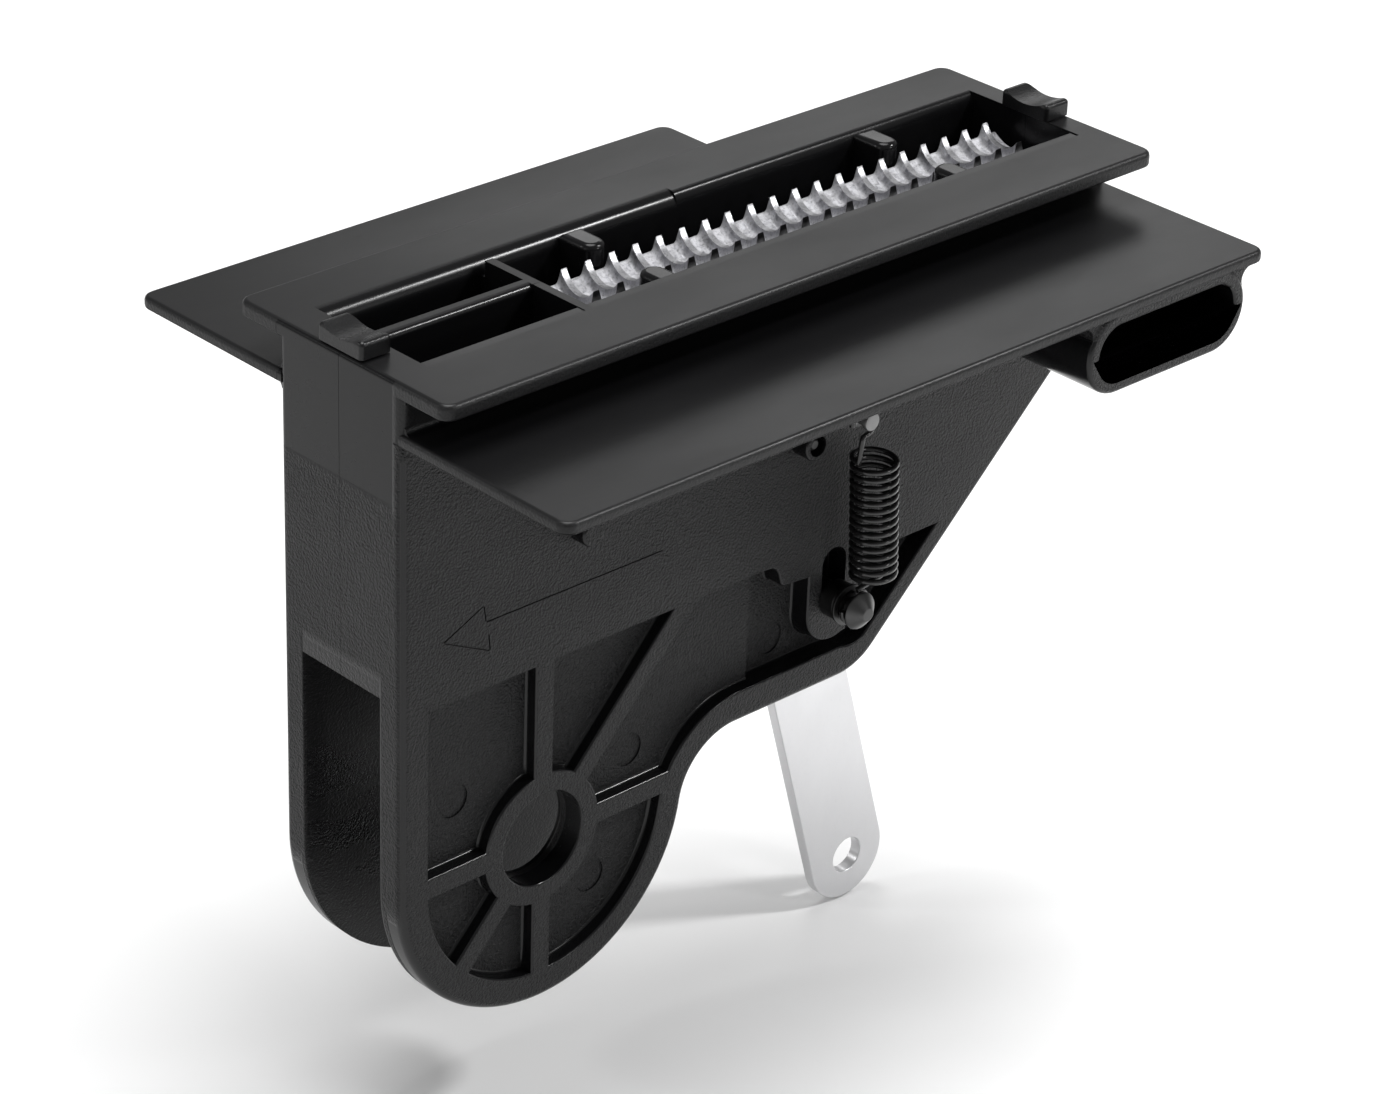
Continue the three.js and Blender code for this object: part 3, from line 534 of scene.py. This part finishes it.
def marks(side):
    """Ejector pin marks on the panel floors and, on the spring side, an arrow pointing to the door."""
    tools = [rod(side, x, z, EJECTOR_R, WEB_HALF - depth - EJECTOR_DEPTH, WEB_HALF - depth + 0.5)
             for x, z, depth in EJECTORS]
    if side < 0:
        for (x0, z0), (x1, z1) in ARROW:
            along = Vector((x1 - x0, z1 - z0)).normalized()
            across = Vector((-along.y, along.x)) * ARROW_LINE_HALF
            outline = [(x0 - across.x, z0 - across.y), (x1 - across.x, z1 - across.y),
                       (x1 + across.x, z1 + across.y), (x0 + across.x, z0 + across.y)]
            tools.append(sweep(outline, [(WEB_HALF - ARROW_DEPTH, 0.22), (WEB_HALF + 1, 0)], "-y"))
    return tools


def hollows(side):
    """The rooms inside a shell, its half of the door arm's slot, and the far side's rounded edges."""
    y = -1
    inner = body_outline(WALL, 0)
    under = FLOOR_Z - 3
    pocket_wall = 2.9 if side > 0 else y
    axis = side_axis(side)
    rooms = [
        side_block(side, RIB_X + RIB_HALF, TROUGH_X1, y, BAY_HALF, FLOOR_Z, 2),
        side_block(side, TROUGH_X0, RIB_X - RIB_HALF, pocket_wall, BAY_HALF, FLOOR_Z, 2),
        side_block(side, 2, 40, y, BAY_HALF, PANEL_TOP + 4, FLOOR_Z + 1),
        keep(sweep(inner, [(y, 0), (9.5, 0)], axis), block(-1.5, END, -50, 50, -200, PANEL_TOP + 5)),
        side_block(side, -END + WALL, -1, y, BAY_HALF, SLOT_TOP + WALL, under),
        keep(sweep(inner, [(y, 0), (BAY_HALF, 0)], axis), block(43, END, -50, 50, PANEL_TOP + 5, under)),
        side_block(side, 9, 57, y, 3, -120, PANEL_TOP + 5),
    ]
    below = LOBE[1] - LOBE[2] - 2
    slot = [(-END - 1, SLOT_TOP), (SLOT_BACK, SLOT_TOP), (SLOT_BACK, SHELF_Z + 1),
            (SLOT_BACK - 4, SHELF_Z - 12), (SLOT_BACK - 4, below), (-END - 1, below)]
    lead = sweep(body_outline(0, -1.3), [(SLOT_HALF, SLOT_LEAD), (SLOT_MOUTH + 0.1, -0.6)], axis)
    rooms.append(cut(sweep(slot, [(y, 0), (SLOT_MOUTH, 0)], axis), lead))
    if side > 0:
        rooms += [edge_round(PARTING, 1.5, 1.5, TROUGH_X0 - 0.1, RIB_X - RIB_HALF),
                  edge_round(BAY_HALF, 3.4, 3.5, TROUGH_X0, 3),
                  edge_round(BAY_HALF, 1.9, 3.2, 2.9, TROUGH_X1)]
    return rooms


def edge_round(y, wide, high, x0, x1):
    """A tool that rounds off a top edge at y, with the material on its +Y side."""
    points = [(y - 1, 1), (y + wide, 1)]
    points += [(y + wide * (1 - math.sin(a)), -high * (1 - math.cos(a)))
               for a in (math.pi / 2 * i / 8 for i in range(9))]
    points += [(y - 1, -high)]
    return sweep(points, [(x0, 0), (x1, 0)], "x")


def guide(side, x):
    """A round-nosed guide that stands in the trough beside the half nut."""
    nose, wall = GUIDE_NOSE, BAY_HALF + 0.5
    half = [(x - GUIDE_HALF, side * wall)]
    half += [(x - GUIDE_HALF * math.cos(a), side * (nose + GUIDE_HALF - GUIDE_HALF * math.sin(a)))
             for a in (math.pi * i / 16 for i in range(17))]
    half += [(x + GUIDE_HALF, side * wall)]
    return sweep(half, rim(FLOOR_Z - 1, GUIDE_TOP, 0, 1.4, 6), "z")


def fillet(side, z, up, r, x0, x1):
    """A concave strip where the web meets a flange."""
    y = WEB_HALF - 0.3
    points = [(y, z - up * 0.3), (WEB_HALF + r, z - up * 0.3), (WEB_HALF + r, z)]
    points += [(WEB_HALF + r - r * math.sin(a), z + up * (r - r * math.cos(a)))
               for a in (math.pi / 2 * i / 6 for i in range(1, 7))]
    points += [(y, z + up * r)]
    return sweep([(side * u, v) for u, v in points], [(x0, 0), (x1, 0)], "x")


def shell(side):
    """One half of the carriage: plate, wing and web, hollowed out, with its bosses, guides and holes."""
    axis = side_axis(side)
    outline = rectangle(-END, END, -PLATE_HALF, PLATE_HALF, CORNER_R)
    plate = sweep(outline, rim(-PLATE_THICK, 0, 0.7, 1.1), "z")
    reach = side * WING_REACH[side]
    inner = side * (WEB_HALF - 1)
    corners = (0, 0, 1, 1) if side > 0 else (1, 1, 0, 0)
    wing_outline = rectangle(-END, WING_END[side], min(inner, reach), max(inner, reach), CORNER_R, 5, corners)
    wing = sweep(wing_outline, rim(WING_UNDER, WING_TOP, 0.7, 1.0), "z")
    web = sweep(body_outline(0, -1.3), rim(PARTING, WEB_HALF, 0.15, WEB_ROUND, 6), axis)
    core = sweep(body_outline(0, -1.3), [(-1, 0), (WEB_HALF - WEB_ROUND, 0)], axis)
    body = keep(add(plate, core), side_block(side, -200, 200, PARTING, 200, -300, 100))
    body = add(body, web, wing,
               fillet(side, WING_TOP, 1, 1.4, -END + 0.9, WING_END[side] - 1),
               fillet(side, -PLATE_THICK, -1, 1.0, -END + 0.9, END - 0.9),
               fillet(side, WING_UNDER, -1, 1.4, -END + 0.9, WING_END[side] - 1))
    body = cut(body, *hollows(side))
    body = add(body, *(rod(side, x, z, SCREW_BOSS_R, PARTING, WEB_HALF - 1) for x, z in SCREWS),
               *(guide(side, x) for x in GUIDE_X),
               side_block(side, BAR_X0 - 3, BAR_X1 + 3, 7.2, BAY_HALF + 0.5, BAR_Z0 - 3, BAR_Z0 + 8))
    if side < 0:
        body = spring_side_extras(body)
    return cut(body, lobe_panel(side), pin_panel(side), *shell_holes(side))


def shell_holes(side):
    """Holes for the screws, rest bar, lever pin, door arm pin and saddle keys, and the moulded marks."""
    axis = side_axis(side)
    holes = []
    for i, (x, z) in enumerate(SCREWS):
        open_ended = side > 0 or i == 1
        depth = 30 if open_ended else WEB_HALF - (5 if i == 4 else 2)
        holes.append(rod(side, x, z, SCREW_BORE_R, -1, depth))
    holes.append(side_block(side, BAR_X0 - GAP, BAR_X1 + GAP, -1, BAR_HALF + GAP,
                            BAR_Z0 - GAP, BAR_Z0 + BAR_HIGH + GAP))
    pin_slot = obround(PIN_X - 3.5, PIN_X + 3.5, PIN_Z - 3.7, PIN_Z + LIFT + 3.7)
    holes.append(sweep(pin_slot, [(5, 0), (40, 0)], axis))
    holes.append(sweep(ring(BORE[0], BORE[1], BORE[2], 64),
                       rim(-1, WEB_HALF, 0, -0.5) + [(WEB_HALF + 3, -0.5)], axis))
    holes += marks(side)
    for end in (-1, 1):
        a, b = end * (END - 1.45), end * (END - 6.15)
        holes.append(side_block(side, min(a, b), max(a, b), -1, 4.65, -7.95, 1))
    return holes


def tube_neck(end):
    """The concave web between the tube's side and the wing's underside."""
    r = (TUBE[3] - TUBE[2]) / 2
    middle = (TUBE[0] + TUBE[1]) / 2
    reach, centre_z, neck = (TUBE[1] - TUBE[0]) / 2 - r, (TUBE[2] + TUBE[3]) / 2, 2.75
    drop = WING_UNDER - neck - centre_z
    run = math.sqrt((r + neck) ** 2 - drop ** 2)
    start = math.pi + math.atan2(drop, run)
    points = [(reach, WING_UNDER + 0.4), (reach, centre_z)]
    points += arc(reach + run, WING_UNDER - neck, neck, start, math.pi / 2, 10)
    points += [(reach + run, WING_UNDER + 0.4)]
    return sweep([(middle + end * u, v) for u, v in points], [(WEB_HALF - 1, 0), (63.9, 0)], "-y")


def spring_side_extras(body):
    """The cross tube, the boss of the spring's anchor, two screw ends and the rail's inner lip."""
    side = -1
    tube = sweep(obround(*TUBE), rim(WEB_HALF - 1, 64.5, 0, 1.1), "-y")
    tube = add(tube, tube_neck(-1), tube_neck(1))
    tube = keep(tube, block(-200, 200, -200, 200, -200, WING_TOP - 0.6))
    body = add(body, tube, rod(side, ANCHOR_X, ANCHOR_Z, 4.6, 10.5, 19.7, 0, 0.5),
               rod(side, *SCREWS[0], 2.9, WEB_HALF - 1, 22.6, 0, 0.8),
               rod(side, *SCREWS[1], 3.3, WEB_HALF - 1, 23.0, 0, 0.5),
               sweep(rectangle(-BAY_HALF - 0.5, -12.9, -PLATE_THICK, -0.15, 0.35, 4, (0, 0, 1, 0)),
                     [(TROUGH_X0 - 0.4, 0), (TROUGH_X1 - 0.5, 0)], "x"))
    mouth = obround(TUBE[0] + TUBE_WALL, TUBE[1] - TUBE_WALL, TUBE[2] + TUBE_WALL, WING_UNDER - 1.7)
    bore = sweep(mouth, rim(WEB_HALF + 0.5, 64.5, 0, -0.9) + [(67, -0.9)], "-y")
    anchor_hole = rod(side, ANCHOR_X, ANCHOR_Z, ANCHOR_R + GAP, 9, 40)
    return cut(body, bore, anchor_hole)


for side, name in ((-1, "spring_side_shell"), (1, "plain_side_shell")):
    settle(shell(side), "moulded_" + name, "carriage_body", shell_plastic, [name])


# ------------------------------------------------------------ screw saddles
def saddle(end):
    """A grooved block that the drive screw passes over, with a key that goes down into the plate."""
    a, b = end * (END - 0.2), end * (END - 0.2 - SADDLE_DEPTH)
    outline = rectangle(min(a, b), max(a, b), -SADDLE_HALF, SADDLE_HALF, 1.0)
    body = sweep(outline, rim(GAP, SADDLE_TOP, 0, 0.9, 5), "z")
    groove = sweep(ring(0, SADDLE_LOW + SADDLE_R, SADDLE_R, 96), [(-150, 0), (150, 0)], "x")
    a, b = end * (END - 1.8), end * (END - 5.8)
    key = block(min(a, b), max(a, b), -4.3, 4.3, -7.6, GAP + 0.2)
    return add(cut(body, groove), key)


for end, name in ((-1, "door_end_saddle"), (1, "motor_end_saddle")):
    settle(saddle(end), "moulded_" + name, "carriage_body", saddle_plastic, [name])


# ------------------------------------------------------------ half nut
def tooth(x):
    """One right-hand thread tooth, its section swept round the drive screw's axis and along it."""
    steps, reach = 28, math.radians(62)
    half = [(0.72, CREST_R), (0.78, CREST_R + 0.05), (1.25, ROOT_R - 0.5), (1.45, ROOT_R - 0.2),
            (1.75, ROOT_R - 0.03), (2.2, ROOT_R + 0.1), (2.2, ROOT_R + 0.9)]
    section = [(-w, r) for w, r in half[::-1]] + half
    count = len(section)
    vertices, faces = [], []
    for i in range(steps + 1):
        angle = -math.pi / 2 + reach - 2 * reach * i / steps
        middle = x + PITCH * (angle + math.pi / 2) / TAU
        vertices += [(middle + w, r * math.cos(angle), SCREW_Z + r * math.sin(angle)) for w, r in section]
    for i in range(steps):
        for k in range(count):
            a, b = i * count + k, i * count + (k + 1) % count
            faces.append((a, b, b + count, a + count))
    faces += [tuple(range(count)), tuple(range(steps * count, (steps + 1) * count))]
    return solid(vertices, faces)


def half_nut():
    """The threaded bar and the forked leg that reaches down to the lever's pin."""
    top = SCREW_Z - math.sqrt(ROOT_R ** 2 - NUT_HALF ** 2)
    bar = block(NUT_X0, NUT_X1, -NUT_HALF, NUT_HALF, NUT_BOTTOM, top + 0.4)
    bar = cut(bar, sweep(ring(0, SCREW_Z, ROOT_R, 96), [(-200, 0), (200, 0)], "x"))
    bar = add(bar, *(tooth(FIRST_TOOTH - PITCH / 4 + i * PITCH) for i in range(TEETH)))
    outline = rectangle(NUT_X0, NUT_X1, -NUT_HALF, NUT_HALF, 0.4)
    bar = keep(bar, sweep(outline, rim(NUT_BOTTOM, 20, 0.4, 0), "z"))
    leg = [(PIN_X - 12, NUT_BOTTOM + 1), (PIN_X + 12, NUT_BOTTOM + 1), (PIN_X + 8, NUT_BOTTOM - 14),
           (PIN_X + 7, PIN_Z), (PIN_X + 4.5, PIN_Z - 6), (PIN_X - 4.5, PIN_Z - 6),
           (PIN_X - 5, PIN_Z), (PIN_X - 5, NUT_BOTTOM - 14)]
    leg = sweep(leg, rim(-NUT_HALF, NUT_HALF, 0.4, 0.4), "y")
    leg = cut(leg, block(-50, 90, -3, 3, PIN_Z - 20, PIN_Z + 23), rod(1, PIN_X, PIN_Z, PIN_R + GAP, -20, 20))
    return add(bar, leg)


settle(half_nut(), "cast_half_nut", "nut_carrier", zinc, ["half_nut"], crease=40)


# ------------------------------------------------------------ release lever
def lever():
    """The strip, leaning at rest, with its eye below and an involute cam above the pin."""
    along = Vector((math.sin(LEAN), -math.cos(LEAN)))
    across = Vector((math.cos(LEAN), math.sin(LEAN)))

    def at(d, n):
        return tuple(Vector((PIN_X, PIN_Z)) + along * d + across * n)

    left, right = LEVER_OFFSET - LEVER_HALF, LEVER_OFFSET + LEVER_HALF
    end = at(LEVER_REACH, LEVER_OFFSET)
    per_radian = LIFT / SWING
    points = [at(6, right), at(-4, right - 1.5), at(-7, right - 6)]
    for i in range(24, -1, -1):
        turn = SWING * i / 24
        height = CAM_HIGH - per_radian * turn
        points.append((PIN_X + height * math.sin(turn) - per_radian * math.cos(turn),
                       PIN_Z + height * math.cos(turn) + per_radian * math.sin(turn)))
    points += [at(-17, left + 0.5), at(-8, left), at(LEVER_REACH, left)]
    points += arc(*end, LEVER_HALF, math.pi + LEAN, TAU + LEAN, 40)[1:]
    t = LEVER_THICK_HALF
    strip = sweep(points, rim(-t, t, 0.25, 0.35, 3), "y")
    through = [(-2 * t, -0.3)] + rim(-t, t, -0.3, -0.2, 3) + [(2 * t, -0.2)]
    hole = sweep(ring(*end, LEVER_HOLE, 48), through, "y")
    return cut(strip, hole, rod(1, PIN_X, PIN_Z, PIN_R + GAP, -5, 5))


settle(lever(), "plated_release_lever", "lever", lever_plate, ["release_lever"])


# ------------------------------------------------------------ pin, washers, clip, bar, screws
HOOK_HALF = WIRE_R + GAP


def lever_pin():
    waist, clip = PIN_R - 0.8, WEB_HALF + 0.5
    return turned(PIN_X, PIN_Z, [
        (1.3, PIN_TIP), (1.6, PIN_TIP + 0.15), (4.0, PIN_TIP + 2.2), (4.2, PIN_TIP + 2.6),
        (4.1, SPRING_Y - HOOK_HALF - 0.25), (waist, SPRING_Y - HOOK_HALF), (waist, SPRING_Y + HOOK_HALF),
        (PIN_R, SPRING_Y + HOOK_HALF + 0.3), (PIN_R, -22.4),
        (4.1, -22.4), (4.2, -22.2), (4.2, -18.85), (PIN_R, -18.85),
        (PIN_R, clip - 0.15), (waist, clip - 0.15), (waist, clip + 0.85),
        (PIN_R, clip + 0.85), (PIN_R, PIN_END - 0.6), (PIN_R - 0.6, PIN_END)], 48)


def washer(inner, outer, y0, y1):
    ringed = sweep(ring(PIN_X, PIN_Z, outer, 48), rim(y0, y1, 0.12, 0.12, 2), "y")
    return cut(ringed, sweep(ring(PIN_X, PIN_Z, inner, 40), [(y0 - 1, 0), (y1 + 1, 0)], "y"))


def pin_clip():
    y = WEB_HALF + 0.5
    disc = washer(PIN_R - 0.8 + GAP / 2, 5.4, y, y + 0.7)
    return cut(disc, block(PIN_X - 1.7, PIN_X + 1.7, 10, 24, PIN_Z - 10, PIN_Z))


def anchor_screw():
    waist = ANCHOR_R - 0.5
    return turned(ANCHOR_X, ANCHOR_Z, [
        (ANCHOR_R - 0.5, ANCHOR_TIP), (ANCHOR_R - 0.1, ANCHOR_TIP + 0.18), (ANCHOR_R, ANCHOR_TIP + 0.5),
        (ANCHOR_R, SPRING_Y - HOOK_HALF - 0.3), (waist, SPRING_Y - HOOK_HALF), (waist, SPRING_Y + HOOK_HALF),
        (2.4, SPRING_Y + HOOK_HALF + 0.35), (3.05, -20.35), (3.2, -20.05),
        (ANCHOR_R, -20.05), (ANCHOR_R, -9.5)], 36)


def shell_screw(x, z, tip):
    """A thread-forming screw with a domed cross-recess head on the plain side."""
    face = WEB_HALF + GAP
    profile = [(0.9, tip), (1.3, tip + 0.4)]
    t = tip + 1.0
    while t < face - 3:
        profile += [(1.55, t), (1.9, t + 0.55), (1.55, t + 1.1)]
        t += 1.4
    profile += [(1.9, t + 0.3), (1.9, face), (3.85, face), (4.0, face + 0.15), (4.0, face + 1.1),
                (3.7, face + 1.8), (2.8, face + 2.45), (1.4, face + 2.75), (0.3, face + 2.8)]
    head = turned(x, z, profile, 36)
    recess = [sweep(rectangle(x - a, x + a, z - b, z + b), [(face + 1.5, 0.15), (face + 4, 0)], "y")
              for a, b in ((2.0, 0.45), (0.45, 2.0))]
    return cut(head, *recess)


settle(lever_pin(), "turned_lever_pin", "nut_carrier", dark_steel, ["lever_pin"])
settle(washer(3.35, 5.8, -2.7, -1.85), "lever_washer_a", "nut_carrier", screw_zinc,
       ["lever_washer_spring_side"])
settle(washer(3.35, 5.8, 1.85, 2.7), "lever_washer_b", "nut_carrier", screw_zinc,
       ["lever_washer_plain_side"])
settle(washer(3.35, 4.6, -23.45, -22.75), "spring_washer", "nut_carrier", dark_steel,
       ["pin_washer"])
settle(pin_clip(), "retaining_clip", "nut_carrier", dark_steel, ["pin_clip"])
bar_outline = rectangle(BAR_X0, BAR_X1, BAR_Z0, BAR_Z0 + BAR_HIGH, 0.4)
settle(sweep(bar_outline, rim(-BAR_HALF, BAR_HALF, 0.3, 0.3), "y"),
       "cam_bar", "carriage_body", screw_zinc, ["cam_rest_bar"])
settle(anchor_screw(), "turned_anchor_screw", "carriage_body", anchor_steel,
       ["spring_anchor_screw"])
for i, (x, z) in enumerate(SCREWS):
    tip = ODD_SCREW_TIPS.get(i, SCREW_TIP)
    settle(shell_screw(x, z, tip), f"cross_screw_{i + 1}", "carriage_body", screw_zinc,
           [f"shell_screw_{i + 1}"])


# ------------------------------------------------------------ extension spring
def coil_point(u):
    angle = math.pi - TAU * SPRING_TURNS * u
    x, z = (a + (b - a) * u for a, b in zip(SPRING_TOP, SPRING_BOTTOM))
    return Vector((x + SPRING_R * math.cos(angle), SPRING_Y + SPRING_R * math.sin(angle), z))


def hook_point(u, px, pz, loop, end, up):
    """A point on a hook: three quarters of a loop round a post, then a straight to the coil's end."""
    radius, rise = loop
    pz += rise
    straight = 0.75 if up > 0 else 0.95
    if u > straight:
        foot = Vector((px, SPRING_Y, pz - up * radius))
        return foot.lerp(end, (u - straight) / (1 - straight))
    angle = up * (-math.pi / 2 + (1 - u / straight) * 1.5 * math.pi)
    return Vector((px + radius * math.cos(angle), SPRING_Y, pz + radius * math.sin(angle)))


def spring():
    steps = round(SPRING_TURNS * 28)
    points = [hook_point(i / 28, ANCHOR_X, ANCHOR_Z, ANCHOR_LOOP, coil_point(0), 1) for i in range(28)]
    points += [coil_point(i / steps) for i in range(steps + 1)]
    points += [hook_point(i / 28, PIN_X, PIN_Z, PIN_LOOP, coil_point(1), -1) for i in range(27, -1, -1)]
    sides = 10
    vertices, faces = [], []
    across = Vector((0, 1, 0))
    for i, point in enumerate(points):
        along = (points[min(i + 1, len(points) - 1)] - points[max(i - 1, 0)]).normalized()
        across = (across - along * across.dot(along)).normalized()
        third = along.cross(across)
        for k in range(sides):
            turn = TAU * k / sides
            vertices.append(point + across * (WIRE_R * math.cos(turn)) + third * (WIRE_R * math.sin(turn)))
    for i in range(len(points) - 1):
        for k in range(sides):
            a, b = i * sides + k, i * sides + (k + 1) % sides
            faces.append((a, b, b + sides, a + sides))
    faces += [tuple(range(sides)), tuple(range(len(vertices) - sides, len(vertices)))]
    return solid([tuple(v) for v in vertices], faces)


coil = settle(spring(), "wound_extension_spring", "carriage_body", spring_black,
              ["extension_spring"], crease=60)
coil.parent = None
coil.modifiers.clear()
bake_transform(coil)


# ------------------------------------------------------------ camera, floor and light
# the camera stands where the photograph's did: these were fitted to straight edges of the object
AZIMUTH, ELEVATION, ROLL = math.radians(-44.145), math.radians(28.096), math.radians(2.198)
OFFSET = Vector((-3.604, -65.707, 835.315)) * MM
SENSOR = 36
FOCAL = 106.8012

right = Vector((math.cos(AZIMUTH), math.sin(AZIMUTH), 0))
back = Vector((math.sin(AZIMUTH) * math.cos(ELEVATION), -math.cos(AZIMUTH) * math.cos(ELEVATION),
               math.sin(ELEVATION)))
up = back.cross(right)
c, s = math.cos(ROLL), math.sin(ROLL)
axes = Matrix((c * right + s * up, -s * right + c * up, back))
camera_data = bpy.data.cameras.new("camera")
camera_data.lens = FOCAL
camera_data.sensor_width = SENSOR
camera_data.clip_end = 20
camera = bpy.data.objects.new("camera", camera_data)
camera.matrix_world = Matrix.Translation(axes.transposed() @ OFFSET) @ axes.transposed().to_4x4()
bpy.context.scene.collection.objects.link(camera)
bpy.context.scene.camera = camera

FLOOR_HALF = 6000
corners = [(u * FLOOR_HALF, v * FLOOR_HALF, 0) for u, v in ((-1, -1), (1, -1), (1, 1), (-1, 1))]
floor = solid(corners, [(0, 1, 2, 3)])
floor.data.transform(Matrix.Scale(MM, 4))
floor.location.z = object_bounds()[0][2] - 0.0005
floor.name = "floor"
paper = Nodes("pale_paper")
floor.data.materials.append(paper.finish(Base_Color=grey(0.9), Roughness=0.9))

world = bpy.data.worlds.new("studio")
world.use_nodes = True
world.node_tree.nodes["Background"].inputs["Color"].default_value = grey(1.0)
world.node_tree.nodes["Background"].inputs["Strength"].default_value = 0.32
bpy.context.scene.world = world
bpy.context.scene.view_settings.view_transform = "Standard"


def lamp(name, position, target, size, power):
    data = bpy.data.lights.new(name, "AREA")
    data.shape = "RECTANGLE"
    data.size, data.size_y = size
    data.energy = power
    obj = bpy.data.objects.new(name, data)
    obj.location = position
    obj.rotation_euler = (Vector(target) - Vector(position)).to_track_quat("-Z", "Y").to_euler()
    bpy.context.scene.collection.objects.link(obj)


CENTRE = (0, 0, -0.08)
sky = bpy.data.lights.new("broad_overhead", "SUN")
sky.energy, sky.angle = 2.6, math.radians(38)
overhead = bpy.data.objects.new("broad_overhead", sky)
overhead.rotation_euler = (math.radians(-3), math.radians(3), 0)
bpy.context.scene.collection.objects.link(overhead)
lamp("back_softbox", (0.85, 0.7, 0.5), CENTRE, (0.6, 0.25), 0.9)
lamp("left_softbox", (-0.9, -0.1, 0.3), CENTRE, (0.3, 0.5), 0.5)
lamp("small_softbox", (0.55, -0.45, 0.62), CENTRE, (0.11, 0.11), 4.5)
lamp("low_right_softbox", (0.35, -0.9, 0.3), CENTRE, (0.1, 0.1), 1.2)
lamp("back_left_softbox", (-0.8, 0.55, 0.45), CENTRE, (0.1, 0.1), 1.2)
